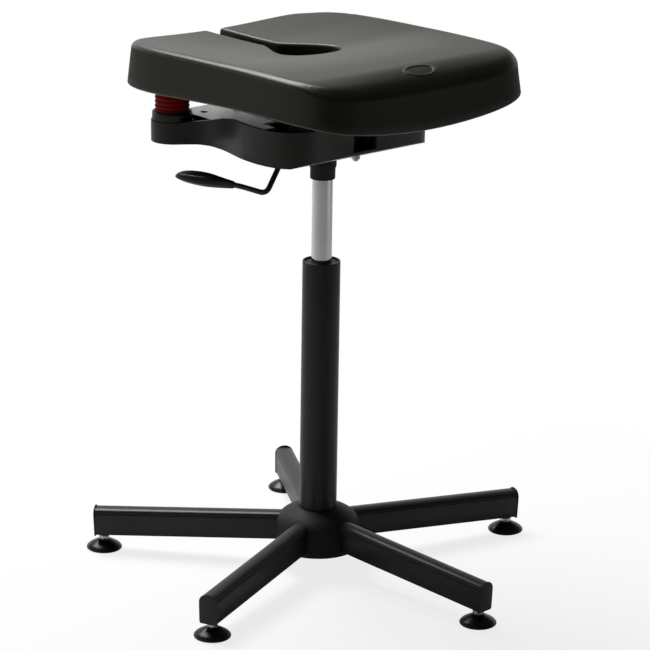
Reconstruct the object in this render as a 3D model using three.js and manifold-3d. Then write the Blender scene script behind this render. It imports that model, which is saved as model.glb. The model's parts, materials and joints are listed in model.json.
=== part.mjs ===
// Perch stool: a five-leg base on levelling feet, a gas-spring column, a sprung tilt mechanism
// with a release lever, and a moulded foam seat with a keyhole slot.
// Millimetres, +Z up. The sitter faces -Y, with their left hand at +X. The origin is on the floor,
// at the centre of the rectangle that the stool covers.

import * as THREE from "three";
import { mergeVertices } from "three/addons/utils/BufferGeometryUtils.js";
import Module from "manifold-3d";

const wasm = await Module();
wasm.setup();

// Clearances and facet counts
const gap = 0.3; // between pieces that touch
const overrun = 6; // how far a cutter passes the faces that it cuts
const fineSides = 36;
const roundSides = 24;
const smallSides = 12;

// Base
const footCircle = 293; // column axis to foot centre
const legCount = 5;
const baseTurn = THREE.MathUtils.degToRad(4.3); // base against the seat, as the stool stands
const legDroop = THREE.MathUtils.degToRad(2.9); // legs fall towards their feet
const legUnderside = 21.8; // at the foot
const legWidth = 24.6;
const legHeight = 37.1;
const legWall = 2.5;
const legCorner = 2;
const legShoulder = 30.5; // underside to the groove below the domed top
const legGroove = 0.9;
const legInnerEnd = 36;
const legPastFoot = 8.5;
const legFit = 0.5; // play of a leg in its pocket
const capPlate = 2.5;
const capProud = 0.8;
const capCrown = 2.2;
const capLip = 1.6;
const capPlug = 3.5;
const hubRadius = 56.2;
const hubBottom = 26;
const hubSkirtTop = 57;
const hubTop = 82.5;
const hubBulge = 17; // height of the dome's shoulder above the skirt
const hubNeck = 3; // width of the flat ring round the column tube
const hubEdge = 2.5;

// Levelling feet
const padRadius = 24;
const padRim = 3;
const padShoulder = 6.9; // where the pad's cone begins
const padHeight = 13.3;
const padNeck = 8;
const padFloor = 4;
const studRadius = 4;
const studInLeg = 20;
const hexAcross = 13;
const hexHeight = 5.4;

// Column
const tubeRadius = 25;
const tubeWall = 2.3;
const tubeTop = 424;
const tubeEdge = 0.8;
const bushingDrop = 1.6;
const bushingLength = 42;
const cylinderRadius = 14;
const cylinderWall = 2;
const cylinderShown = 111.3; // bright cylinder between the tube and the socket
const travelDown = 100;
const travelUp = 140;
const rodRadius = 5;
const footPlate = 4;
const footPlateSet = 1; // foot plate above the tube's end
const clipRadius = 9;
const clipThick = 2;
const rodTail = 2;
const bearingRadius = 15;
const bearingHeight = 5;
const shoulderRadius = 8;
const shoulderHeight = 3;
const bufferRadius = 11.5;
const bufferHeight = 12;
const glandHeight = 8;
const pistonHeight = 16;
const boreEnd = 20; // solid head of the cylinder below the socket
const cylinderEdge = 1;

// Socket and release button
const socketRadius = 16.6;
const socketPlain = 13.7;
const socketFlare = 4;
const socketUpperRadius = 18;
const socketDrop = 43.7; // socket below the housing
const taper = 0.7;
const flangeRadius = 31;
const flangeThick = 4;
const buttonRadius = 3.5;
const buttonDepth = 11;
const buttonRoom = 5.5; // room below the button for its travel
const buttonShown = 8;

// Tilt housing, seen from above; its width and its spring bosses keep their places under the seat
const floorThick = 4;
const housingWall = 4;
const housingFront = 82; // column axis to the front face
const cornerInset = 53.5; // flare's side to where the front face turns flat
const flareInset = 4.5; // spring boss axis to the side of the flare
const flareFront = 24; // side bulge, ahead of the column
const flareBack = 12;
const waistInset = 17.5; // spring boss axis to the side of the waist
const waistAhead = 67; // waist, ahead of the spring bosses
const rearWallPast = 15; // rear wall behind the boss axes
const bossInset = 51; // seat's side to the spring boss axis
const bossAhead = 89; // seat's back edge to the spring boss axis
const bossRadius = 28;
const rearRim = 28; // underside of the housing to its rear rim
const frontRim = 47;
const rimRiseAhead = 14; // where the rim starts to climb, ahead of the boss axes
const rimRiseEnd = 25;
const webTurn = THREE.MathUtils.degToRad(33.5); // wall that runs from the waist to the boss
const webRun = 20;
const channelHalf = 19.5;
const channelDepth = 24;
const channelRound = 10;
const housingNose = 12; // underside of the front, which slopes up to the front face
const housingNoseRise = 5;
const flareRound = 1.6;
const flareSwing = 2.6; // higher brings the flare's side in to the waist more sharply

// Tilt axle and what carries it
const axleBehind = 38; // front face to the axle
const axleHeight = 24; // above the housing's underside
const axleRadius = 6;
const axlePast = 4; // axle's end past the carrier's flange
const blockGap = 7; // carrier's flange to the bearing block
const blockWidth = 20;
const blockHalfDepth = 13;
const blockHead = 11; // round head of the block above the axle
const blockFoot = 5;
const blockFootInset = 37.5; // flare's side to the end of the block's foot
const blockFootFront = 21; // foot of the block, from its front to its back, ahead of the axle
const blockFootBack = 6;
const screwInset = 6; // end of the foot to its screw
const screwAhead = 14; // screw ahead of the axle
const screwRadius = 3;
const screwHead = 5;
const screwHeadHeight = 2.6;
const screwLength = 12;
const stopBehind = 18; // front face to the stop bolt
const stopShank = 3;
const stopHead = 5;
const stopHeadHeight = 4;
const stopNut = 5.8;
const stopNutHeight = 5;
const stopTail = 2.5;

// Lid plate of the mechanism
const plateInset = 11; // waist's side to the plate's
const plateFrontInset = 41.5; // flare's side to the plate's arm
const plateArm = 21; // width of an arm at its front
const plateNarrowBack = 30;
const plateWidePast = 8; // where the plate reaches its full width, behind the waist
const platePast = 8; // plate beyond the rear wall
const plateThick = 3;
const plateFront = 8; // front ends of the plate's two arms, ahead of the column
const plateOpenAhead = 2; // end of the opening between the arms, ahead of the waist
const plateCorner = 10;
const plateHoleInset = 19.5;
const plateHoleAhead = 6; // hole ahead of the boss axes
const plateHoleRadius = 5;
const postAcross = 40;
const postAhead = 15; // screw post ahead of the boss axes
const postRadius = 8;

// Springs
const cupRadius = 26.5;
const cupHeight = 12;
const cupWall = 3.2;
const cupFloor = 3;
const cupRound = 3;
const cupChamfer = 1; // middle of the cup's rounded edge
const springRadius = 22.7;
const springRibDepth = 1.5;
const springRibs = 8;
const springRise = 50; // boss top to the seat board

// Lever
const leverRod = 3.5;
const leverReach = 3; // rod end past the column axis
const leverPivotAcross = 42;
const leverHub = 6.2;
const leverHubHalf = 7.4;
const leverPin = 3;
const bracketEar = 3;
const bracketBase = 3;
const bracketHalf = 8;
const leverInside = 12; // from where the rod turns forward to where it turns down
const leverInsideBack = 4;
const leverTurnInset = 33.5; // flare's side to where the rod turns down, above the slot in the floor
const leverTurnForward = 39.5;
const leverTurnRise = 9;
const leverSlotOut = 9.9; // middle of the slot outside the turn
const leverSlotForward = 1.8; // and ahead of it
const leverSlotLength = 29.4;
const leverSlotPlay = 3;
const leverElbowOut = 2; // elbow outside the flare
const leverElbowDrop = 33.6; // elbow below the housing's underside
const leverElbowForward = 45.5;
const leverKneeOut = 13.5; // slight bend just before the handle, from the elbow
const leverKneeBack = 36.5;
const leverKneeRise = 4.8;
const leverTipOut = 44; // tip of the handle, from the elbow
const leverTipBack = 76.4; // behind the column
const leverTipDrop = 26.9;
const leverBend = 7.5;
const handleLength = 82;
const handleHalf = 12.5;
const handleRoll = THREE.MathUtils.degToRad(-9); // outer edge of the handle lies lower
const handleNeck = 6;
const handleThick = 5;
const handleBevel = 1.6;
const handleBoss = 6.2;
const handleBossLength = 46;
const rodInHandle = 38;
const handleNeckShare = 0.3; // shares of the handle's length where its outline turns
const handleWideShare = 0.42;
const handleNoseShare = 0.86;
const handleNoseWidth = 0.6; // share of the full width at the nose
const handleBossTaper = 0.6;

// Seat
const seatHalf = 187;
const seatFront = 211;
const seatBack = 232;
const seatSquareBack = 5; // exponents of the outline: 2 is an ellipse, higher is squarer
const seatSquareFront = 6.8;
const seatRise = 58; // board underside to the highest part of the seat
const rimLow = 10; // rim of the seat below the board, at the back
const rimFrontLow = 17;
const rimSideLow = -5.5; // the side of the rim ends above the board's underside
const rimThick = 14;
const sideDraft = 4;
const bottomRound = 3;
const edgeRound = 9;
const edgeDrop = 8;
const frontRound = 44;
const frontDrop = 25;
const frontStart = 0.62; // shares of the way to the front edge where its deeper rounding starts and is full
const frontFull = 0.97;
const padRingShares = [0.78, 0.58, 0.36, 0.16]; // rings across the top, as shares of the way out
const cornerRound = 0.6; // share of the front's rounding that is lost at the corners
const boardThick = 10;
const holeBack = 29; // centre of the keyhole's round end, behind the column
const holeRadius = 34;
const slotHalf = 11.5;
const slotNeckBack = 96;
const keyholeMargin = 7; // board's keyhole is wider than the seat's
const carrierThick = 3;
const carrierInset = 39.5; // flare's side to the carrier's
const carrierAhead = 56; // front edge of the carrier ahead of the axle
const carrierBehind = 30;
const carrierCorner = 10;
const flangeInset = 10; // carrier's side to its flange
const flangeHead = 13; // round front of the flange about the axle
const flangeHeel = 30; // rear corner of the flange behind the axle
const flangeHeelDrop = 3;
const flangeTopRear = 9; // flange where it meets the plate, ahead of the axle
const flangeTopFront = 44;
const boltRearInset = 28; // carrier's edges to the bolts
const boltRearAhead = 12;
const boltFrontInset = 46;
const boltFrontBehind = 10;
const boltRadius = 4;
const boltHead = 7.5;
const boltHeadHeight = 5.3;
const boltInBoard = 7;

// Places that follow from the sizes above
const bossAcross = seatHalf - bossInset;
const bossBack = seatBack - bossAhead;
const flareHalf = bossAcross - flareInset;
const waistHalf = bossAcross - waistInset;
const waistBack = bossBack - waistAhead;
const housingHalf = flareHalf - cornerInset;
const rearWall = bossBack + rearWallPast;
const rimRiseStart = bossBack - rimRiseAhead;
const axleForward = housingFront - axleBehind;
const carrierHalf = flareHalf - carrierInset;
const carrierFront = axleForward + carrierAhead;
const carrierBack = carrierBehind - axleForward;
const flangeAcross = carrierHalf - flangeInset - carrierThick;
const boltSpots = [
  [carrierHalf - boltRearInset, boltRearAhead - carrierBack],
  [carrierHalf - boltFrontInset, carrierFront - boltFrontBehind],
];
const axleHalf = flangeAcross + carrierThick + axlePast;
const blockOuter = flangeAcross - blockGap;
const blockInner = blockOuter - blockWidth;
const blockFootOuter = flareHalf - blockFootInset;
const screwAcross = blockFootOuter - screwInset;
const screwForward = axleForward + screwAhead;
const stopForward = housingFront - stopBehind;
const plateHalf = waistHalf - plateInset;
const plateFrontHalf = flareHalf - plateFrontInset;
const plateWideBack = waistBack + plateWidePast;
const plateOpenHalf = plateFrontHalf - plateArm;
const plateOpenBack = waistBack - plateOpenAhead;
const plateHoleAcross = plateHalf - plateHoleInset;
const plateHoleBack = bossBack - plateHoleAhead;
const postBack = bossBack - postAhead;
const leverTurnAcross = flareHalf - leverTurnInset;
const leverSlotAcross = leverTurnAcross + leverSlotOut;
const leverElbowAcross = flareHalf + leverElbowOut;
const leverTipAcross = leverElbowAcross + leverTipOut;
const cylinderLow = tubeTop + cylinderShown;
const housingBottom = cylinderLow + socketDrop;
const floorTop = housingBottom + floorThick;
const rearTop = housingBottom + rearRim;
const socketTop = floorTop + gap + flangeThick;
const buttonTop = socketTop + buttonShown;
const leverLevel = buttonTop + gap + leverRod;
const axleLevel = housingBottom + axleHeight;
const plateBottom = rearTop + gap;
const boardBottom = rearTop + springRise;
const boardTop = boardBottom + boardThick;
const seatHigh = boardBottom + seatRise;

// Finishes
const finishes = {
  powderCoat: { color: 0x17181a, roughness: 0.42, metalness: 0.2 },
  castBlack: { color: 0x1b1b1c, roughness: 0.55, metalness: 0.1 },
  mouldedBlack: { color: 0x141415, roughness: 0.5, metalness: 0 },
  foam: { color: 0x1d1e1c, roughness: 0.72, metalness: 0 },
  board: { color: 0x202020, roughness: 0.8, metalness: 0 },
  chrome: { color: 0xd9dadc, roughness: 0.12, metalness: 1 },
  zinc: { color: 0xb9bbb8, roughness: 0.34, metalness: 0.9 },
  steel: { color: 0x8f9194, roughness: 0.35, metalness: 0.9 },
  redRubber: { color: 0xb3261c, roughness: 0.6, metalness: 0 },
  greyPlastic: { color: 0x4b4d50, roughness: 0.55, metalness: 0 },
};

const stool = new THREE.Group();

// Adds one named piece, by default to the part of the stool that stands still.
function addPiece(name, geometry, finish, group = stool) {
  const piece = new THREE.Mesh(geometry, new THREE.MeshStandardMaterial(finishes[finish]));
  piece.name = name;
  group.add(piece);
  return piece;
}

// Merges the vertices, drops flat triangles and turns the faces outwards.
function closed(geometry) {
  const bare = geometry.clone();
  bare.deleteAttribute("normal");
  bare.deleteAttribute("uv");
  const merged = mergeVertices(bare);
  const place = merged.attributes.position;
  const corners = [new THREE.Vector3(), new THREE.Vector3(), new THREE.Vector3()];
  const kept = [];
  let volume = 0;
  for (let i = 0; i < merged.index.count; i += 3) {
    const face = [0, 1, 2].map((k) => merged.index.getX(i + k));
    if (new Set(face).size === face.length) {
      kept.push(...face);
      face.forEach((vertex, k) => corners[k].fromBufferAttribute(place, vertex));
      volume += corners[0].dot(corners[1].clone().cross(corners[2]));
    }
  }
  merged.setIndex(volume < 0 ? kept.reverse() : kept);
  return merged;
}

function toSolid(geometry) {
  const shell = closed(geometry);
  const vertProperties = new Float32Array(shell.attributes.position.array);
  const triVerts = new Uint32Array(shell.index.array);
  return new wasm.Manifold(new wasm.Mesh({ numProp: 3, vertProperties, triVerts }));
}

function toGeometry(solid) {
  const { vertProperties, triVerts } = solid.getMesh();
  const geometry = new THREE.BufferGeometry();
  geometry.setAttribute("position", new THREE.BufferAttribute(vertProperties, 3));
  geometry.setIndex(new THREE.BufferAttribute(triVerts, 1));
  return geometry;
}

function joined(...geometries) {
  return toGeometry(geometries.map(toSolid).reduce((sum, next) => sum.add(next)));
}

function cutBy(geometry, ...cutters) {
  return toGeometry(cutters.map(toSolid).reduce((rest, cutter) => rest.subtract(cutter), toSolid(geometry)));
}

// A turned solid: pairs of radius and height, on the axis at both ends or closed on themselves.
function turned(pairs, sides) {
  const profile = pairs.map(([radius, height]) => new THREE.Vector2(radius, height));
  return closed(new THREE.LatheGeometry(profile, sides).rotateX(Math.PI / 2));
}

function ring(inner, outer, low, high, sides) {
  return turned([[inner, low], [outer, low], [outer, high], [inner, high], [inner, low]], sides);
}

function disc(radius, low, high, sides) {
  return turned([[0, low], [radius, low], [radius, high], [0, high]], sides);
}

// A plate: a flat outline raised from one height to another.
function raised(shape, low, high, curveSegments = 12) {
  const flat = new THREE.ExtrudeGeometry(shape, { depth: high - low, bevelEnabled: false, curveSegments });
  return closed(flat.translate(0, 0, low));
}

// An outline that stands upright, with its own x along +Y and its own y up, run along +X.
function alongX(shape, from, to, curveSegments = 10) {
  const flat = new THREE.ExtrudeGeometry(shape, { depth: to - from, bevelEnabled: false, curveSegments });
  const across = new THREE.Vector3(0, 1, 0);
  const up = new THREE.Vector3(0, 0, 1);
  const along = new THREE.Vector3(1, 0, 0);
  flat.applyMatrix4(new THREE.Matrix4().makeBasis(across, up, along));
  return closed(flat.translate(from, 0, 0));
}

function hexagon(radius, low, high) {
  return disc(radius, low, high, 6);
}

function movedTo(geometry, x, y, z = 0) {
  return geometry.clone().translate(x, y, z);
}

function smoothStep(start, end, value) {
  const share = THREE.MathUtils.clamp((value - start) / (end - start), 0, 1);
  return share * share * (3 - 2 * share);
}

// Base: hub, legs and end caps

function legOutline(half, low, shoulder, high, groove) {
  const shape = new THREE.Shape();
  shape.moveTo(-half + legCorner, low);
  shape.lineTo(half - legCorner, low);
  shape.quadraticCurveTo(half, low, half, low + legCorner);
  shape.lineTo(half, shoulder - groove);
  shape.lineTo(half - groove, shoulder);
  shape.lineTo(half, shoulder + groove);
  shape.absellipse(0, shoulder + groove, half, high - shoulder - groove, 0, Math.PI);
  shape.lineTo(-half + groove, shoulder);
  shape.lineTo(-half, shoulder - groove);
  shape.lineTo(-half, low + legCorner);
  shape.quadraticCurveTo(-half, low, -half + legCorner, low);
  return shape;
}

function plainOutline(half, low, shoulder, high) {
  const shape = new THREE.Shape();
  shape.moveTo(-half, low);
  shape.lineTo(half, low);
  shape.lineTo(half, shoulder);
  shape.absellipse(0, shoulder, half, high - shoulder, 0, Math.PI);
  shape.lineTo(-half, low);
  return shape;
}

const legTop = legUnderside + legHeight;
const legSide = legUnderside + legShoulder;
const legEnd = footCircle + legPastFoot;

function makeLeg() {
  const outline = legOutline(legWidth / 2, legUnderside, legSide, legTop, legGroove);
  const hollow = plainOutline(legWidth / 2 - legWall, legUnderside + legWall, legSide, legTop - legWall);
  const hole = disc(studRadius + gap, legUnderside - overrun, legUnderside + legWall + overrun, smallSides);
  const profile = alongX(outline, legInnerEnd, legEnd);
  const core = alongX(hollow, legInnerEnd - overrun, legEnd + overrun);
  return cutBy(drooped(cutBy(profile, core)), movedTo(hole, footCircle, 0));
}

function makeLegCap() {
  const half = legWidth / 2 + capProud;
  const shape = legOutline(half, legUnderside - capLip, legSide, legTop + capCrown, legGroove);
  const inset = legWall + gap;
  const plug = plainOutline(legWidth / 2 - inset, legUnderside + inset, legSide, legTop - inset);
  const face = legEnd + gap;
  const cover = alongX(shape, face, face + capPlate);
  return drooped(joined(cover, alongX(plug, legEnd - capPlug, face + capPlate / 2)));
}

// A leg's own frame drops towards its foot, and keeps the leg's height there.
function drooped(geometry) {
  return geometry.rotateY(legDroop).translate(0, 0, footCircle * Math.sin(legDroop));
}

function makeHub() {
  const bore = tubeRadius + gap;
  const neck = bore + hubNeck;
  const profile = [[bore, hubBottom], [hubRadius - hubEdge, hubBottom], [hubRadius, hubBottom + hubEdge]];
  const domeSteps = 6;
  const dome = new THREE.QuadraticBezierCurve(
    new THREE.Vector2(hubRadius, hubSkirtTop), new THREE.Vector2(hubRadius, hubSkirtTop + hubBulge),
    new THREE.Vector2(neck, hubTop),
  );
  dome.getPoints(domeSteps).forEach((p) => profile.push([p.x, p.y]));
  profile.push([bore, hubTop], [bore, hubBottom]);
  const fit = legFit;
  const opening = plainOutline(legWidth / 2 + fit, legUnderside - overrun, legSide, legTop + fit);
  const pocket = drooped(alongX(opening, legInnerEnd - gap, hubRadius + overrun));
  const pockets = legAngles.map((angle) => pocket.clone().rotateZ(angle));
  return cutBy(turned(profile, fineSides), ...pockets);
}

function makePad() {
  return turned([
    [0, 0], [padRadius - padRim / 2, 0], [padRadius, padRim / 2], [padRadius, padRim],
    [padRadius - padRim, padShoulder], [padNeck, padHeight],
    [studRadius + gap, padHeight], [studRadius + gap, padFloor], [0, padFloor],
  ], roundSides);
}

function makeStud() {
  const shank = disc(studRadius, padFloor + gap, legUnderside + studInLeg, smallSides);
  const hexLow = padHeight + gap;
  return joined(shank, hexagon(hexAcross / Math.sqrt(3), hexLow, hexLow + hexHeight));
}

const fullTurn = 2 * Math.PI;
const firstLeg = -Math.PI / 2 + baseTurn;
const legAngles = Array.from({ length: legCount }, (_, i) => firstLeg + (i * fullTurn) / legCount);
const leg = makeLeg();
const legCap = makeLegCap();
const pad = makePad();
const stud = makeStud();

addPiece("hub", makeHub(), "castBlack");
legAngles.forEach((angle, i) => {
  const arm = new THREE.Group();
  arm.rotation.z = angle;
  stool.add(arm);
  addPiece(`leg_${i + 1}`, leg, "powderCoat", arm);
  addPiece(`leg_cap_${i + 1}`, legCap, "mouldedBlack", arm);
  addPiece(`foot_pad_${i + 1}`, pad, "mouldedBlack", arm).position.x = footCircle;
  addPiece(`foot_stud_${i + 1}`, stud, "zinc", arm).position.x = footCircle;
});

// Column: outer tube, its foot, and the gas spring

const tubeInner = tubeRadius - tubeWall;
const plateLow = hubBottom + footPlateSet;
const plateHigh = plateLow + footPlate;
const bearingLow = plateHigh + gap;
const shoulderLow = bearingLow + bearingHeight + gap;
const bufferLow = shoulderLow + shoulderHeight + gap;
const cylinderBottom = bufferLow + bufferHeight + gap + travelDown;
const boreRadius = cylinderRadius - cylinderWall;
const boreTop = cylinderLow - boreEnd;
const pistonLow = cylinderBottom + travelUp + glandHeight + gap;
const taperedRadius = cylinderRadius - taper;
const runGap = rodRadius + gap;

addPiece("column_tube", turned([
  [tubeInner, hubBottom], [tubeRadius, hubBottom], [tubeRadius, tubeTop - tubeEdge],
  [tubeRadius - tubeEdge, tubeTop], [tubeInner, tubeTop], [tubeInner, hubBottom],
], fineSides), "powderCoat");

const bushingTop = tubeTop - bushingDrop;
const bushingOuter = tubeInner - gap;
const bushingInner = cylinderRadius + gap;
const bushingLow = bushingTop - bushingLength;
addPiece("guide_bushing", ring(bushingInner, bushingOuter, bushingLow, bushingTop, roundSides), "greyPlastic");
addPiece("tube_foot_plate", ring(runGap, bushingOuter, plateLow, plateHigh, roundSides), "steel");
addPiece("thrust_bearing", ring(runGap, bearingRadius, bearingLow, bearingLow + bearingHeight, roundSides),
  "steel");

addPiece("piston_rod", turned([
  [0, plateLow - gap - clipThick - rodTail], [rodRadius, plateLow - gap - clipThick - rodTail],
  [rodRadius, shoulderLow], [shoulderRadius, shoulderLow], [shoulderRadius, shoulderLow + shoulderHeight],
  [rodRadius, shoulderLow + shoulderHeight], [rodRadius, pistonLow + pistonHeight],
  [0, pistonLow + pistonHeight],
], smallSides), "chrome");
const clipTop = plateLow - gap;
addPiece("rod_clip", ring(runGap, clipRadius, clipTop - clipThick, clipTop, smallSides), "steel");
addPiece("bump_stop", ring(runGap, bufferRadius, bufferLow, bufferLow + bufferHeight, roundSides),
  "mouldedBlack");
addPiece("piston", ring(runGap, boreRadius - gap, pistonLow, pistonLow + pistonHeight, roundSides), "steel");

addPiece("gas_cylinder", turned([
  [0, boreTop], [boreRadius, boreTop], [boreRadius, cylinderBottom + glandHeight],
  [runGap, cylinderBottom + glandHeight], [runGap, cylinderBottom],
  [cylinderRadius - cylinderEdge, cylinderBottom], [cylinderRadius, cylinderBottom + cylinderEdge],
  [cylinderRadius, cylinderLow], [taperedRadius, socketTop], [buttonRadius + gap, socketTop],
  [buttonRadius + gap, socketTop - buttonDepth], [0, socketTop - buttonDepth],
], roundSides), "chrome");

const buttonLow = socketTop - buttonDepth + buttonRoom;
addPiece("release_button", disc(buttonRadius, buttonLow, buttonTop, smallSides), "zinc");

addPiece("cone_socket", turned([
  [cylinderRadius + gap, cylinderLow], [socketRadius, cylinderLow], [socketRadius, cylinderLow + socketPlain],
  [socketUpperRadius, cylinderLow + socketPlain + socketFlare], [socketUpperRadius, floorTop + gap],
  [flangeRadius, floorTop + gap], [flangeRadius, socketTop], [taperedRadius + gap, socketTop],
  [cylinderRadius + gap, cylinderLow],
], roundSides), "powderCoat");

// Tilt housing: a moulded tray with a spring boss at each rear corner

// Half of the tray's outline from the centre of the front face to the centre of the rear wall.
function trayHalf(front, inset) {
  const half = new THREE.Path();
  const cornerY = -front + inset;
  half.moveTo(0, cornerY);
  half.lineTo(housingHalf, cornerY);
  const bulge = flareHalf - inset;
  half.quadraticCurveTo(bulge - flareRound, cornerY, bulge, -flareFront);
  half.lineTo(bulge, -flareBack);
  const waist = waistHalf - inset;
  const swing = (flareBack + waistBack) / flareSwing;
  half.bezierCurveTo(bulge, swing - flareBack, waist, waistBack - swing, waist, waistBack);
  const along = new THREE.Vector2(-Math.cos(webTurn), -Math.sin(webTurn));
  const meets = new THREE.Vector2(bossAcross, bossBack)
    .add(new THREE.Vector2(-along.y, along.x).multiplyScalar(bossRadius - inset));
  const corner = meets.clone().addScaledVector(along, (waist - meets.x) / along.x);
  const straight = corner.clone().addScaledVector(along, -webRun);
  half.quadraticCurveTo(corner.x, corner.y, straight.x, straight.y);
  half.lineTo(meets.x, meets.y);
  half.lineTo(bossAcross, bossBack);
  half.lineTo(waist, rearWall - inset);
  half.lineTo(0, rearWall - inset);
  return half.getPoints(7);
}

function mirroredShape(points) {
  const right = points.map((p) => new THREE.Vector2(p.x, p.y));
  const left = right.filter((p) => p.x > 0).map((p) => new THREE.Vector2(-p.x, p.y));
  return new THREE.Shape([...right.filter((p) => p.x > 0), ...left.reverse()]);
}

// The recess in the middle of the front face, rounded where its sides meet its back.
function channelShape(half, depth) {
  const shape = new THREE.Shape();
  const back = -housingFront + depth;
  shape.moveTo(-half, -housingFront - overrun);
  shape.lineTo(half, -housingFront - overrun);
  shape.lineTo(half, back - channelRound);
  shape.quadraticCurveTo(half, back, half - channelRound, back);
  shape.lineTo(-half + channelRound, back);
  shape.quadraticCurveTo(-half, back, -half, back - channelRound);
  shape.lineTo(-half, -housingFront - overrun);
  return shape;
}

// What is cut away above the rim, which climbs from the spring bosses towards the front.
function aboveRim() {
  const front = -housingFront - overrun;
  const back = bossBack + bossRadius + overrun;
  const high = housingBottom + frontRim;
  const shape = new THREE.Shape();
  shape.moveTo(front, high + overrun);
  shape.lineTo(front, high);
  const steps = 10;
  for (let i = 0; i <= steps; i++) {
    const y = rimRiseEnd + ((rimRiseStart - rimRiseEnd) * i) / steps;
    shape.lineTo(y, high - (frontRim - rearRim) * smoothStep(rimRiseEnd, rimRiseStart, y));
  }
  shape.lineTo(back, rearTop);
  shape.lineTo(back, high + overrun);
  return alongX(shape, -bossAcross - bossRadius - overrun, bossAcross + bossRadius + overrun);
}

// A wedge below the front of the tray, a given distance above its underside.
function noseWedge(above) {
  const start = -housingFront + housingNose;
  const end = -housingFront - overrun;
  const slope = housingNoseRise / housingNose;
  const shape = new THREE.Shape();
  const low = housingBottom + above;
  shape.moveTo(start, low - overrun);
  shape.lineTo(start, low);
  shape.lineTo(end, low + (start - end) * slope);
  shape.lineTo(end, low - overrun);
  return alongX(shape, -flareHalf - overrun, flareHalf + overrun);
}

function makeHousing() {
  const high = housingBottom + frontRim + overrun;
  const outer = mirroredShape(trayHalf(housingFront, 0));
  const inner = mirroredShape(trayHalf(housingFront, housingWall));
  const boss = disc(bossRadius, housingBottom, high, roundSides);
  const bosses = [-1, 1].map((side) => movedTo(boss, side * bossAcross, bossBack));
  const post = disc(postRadius, floorTop - floorThick / 2, rearTop, smallSides);
  const posts = [-1, 1].map((side) => movedTo(post, side * postAcross, postBack));
  const bossTop = disc(bossRadius + gap, rearTop, high + overrun, roundSides);
  const bossTops = [-1, 1].map((side) => movedTo(bossTop, side * bossAcross, bossBack));
  const block = cutBy(joined(raised(outer, housingBottom, high), ...bosses), ...bossTops);
  const recess = cutBy(raised(channelShape(channelHalf, channelDepth), floorTop, high + overrun),
    noseWedge(floorThick));
  const room = cutBy(raised(inner, floorTop, high + overrun),
    raised(channelShape(channelHalf + housingWall, channelDepth + housingWall), floorTop - overrun,
      high + 2 * overrun), noseWedge(floorThick), ...bosses);
  const socketHole = disc(socketUpperRadius + gap, housingBottom - overrun, floorTop + overrun, roundSides);
  const screwHole = disc(screwRadius + gap, housingBottom - overrun, floorTop + overrun, smallSides);
  const stopHole = disc(stopShank + gap, housingBottom - overrun, floorTop + overrun, smallSides);
  const slot = leverSlot();
  const tray = cutBy(block, aboveRim(), noseWedge(0), recess, room, socketHole, slot,
    movedTo(screwHole, screwAcross, -screwForward), movedTo(screwHole, -screwAcross, -screwForward),
    movedTo(stopHole, 0, -stopForward));
  const plateHole = disc(screwRadius + gap, rearTop - screwLength, rearTop + overrun, smallSides);
  const plateHoles = [-1, 1].map((side) => movedTo(plateHole, side * postAcross, postBack));
  return cutBy(joined(tray, ...posts), ...plateHoles);
}

function leverSlot() {
  const half = leverRod + leverSlotPlay;
  const straight = leverSlotLength / 2 - half;
  const shape = new THREE.Shape();
  const y = -leverTurnForward - leverSlotForward;
  shape.absarc(-leverSlotAcross + straight, y, half, -Math.PI / 2, Math.PI / 2);
  shape.absarc(-leverSlotAcross - straight, y, half, Math.PI / 2, (3 * Math.PI) / 2);
  return raised(shape, housingBottom - overrun, floorTop + overrun, 5);
}

addPiece("tilt_housing", makeHousing(), "mouldedBlack");

// Lid plate, held to the housing's posts by two screws; its front is open between two arms

function makeLidPlate() {
  const back = rearWall + platePast;
  const right = [
    new THREE.Vector2(plateOpenHalf, -plateFront),
    new THREE.Vector2(plateFrontHalf, -plateFront),
    new THREE.Vector2(plateFrontHalf, plateNarrowBack),
    new THREE.Vector2(plateHalf, plateWideBack),
    new THREE.Vector2(plateHalf, back - plateCorner),
    new THREE.Vector2(plateHalf - plateCorner, back),
  ];
  const outline = new THREE.Shape([
    ...right,
    ...right.map((p) => new THREE.Vector2(-p.x, p.y)).reverse(),
    new THREE.Vector2(-plateOpenHalf, plateOpenBack),
    new THREE.Vector2(plateOpenHalf, plateOpenBack),
  ]);
  const low = plateBottom - overrun;
  const high = plateBottom + plateThick + overrun;
  const hole = disc(plateHoleRadius, low, high, smallSides);
  const screwHole = disc(screwRadius + gap, low, high, smallSides);
  const holes = [-1, 1].map((sign) => movedTo(hole, sign * plateHoleAcross, plateHoleBack));
  const screwHoles = [-1, 1].map((sign) => movedTo(screwHole, sign * postAcross, postBack));
  return cutBy(raised(outline, plateBottom, plateBottom + plateThick), ...holes, ...screwHoles);
}

addPiece("lid_plate", makeLidPlate(), "zinc");

// A pan-head screw whose head sits below or above a face; its shank points away from the head.
function makeScrew(seat, direction) {
  const top = seat + direction * screwHeadHeight;
  const middle = seat + (direction * screwHeadHeight) / 2;
  const tip = seat - direction * (screwLength - gap);
  const crown = screwHead - screwHeadHeight / 2;
  const pairs = [
    [0, top], [crown, top], [screwHead, middle], [screwHead, seat], [screwRadius, seat], [screwRadius, tip], [0, tip],
  ];
  return turned(pairs, smallSides);
}

const lidScrew = makeScrew(plateBottom + plateThick + gap, 1);
addPiece("lid_screw_left", lidScrew, "zinc").position.set(postAcross, postBack, 0);
addPiece("lid_screw_right", lidScrew, "zinc").position.set(-postAcross, postBack, 0);

// Tilt axle in two bearing blocks

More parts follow.
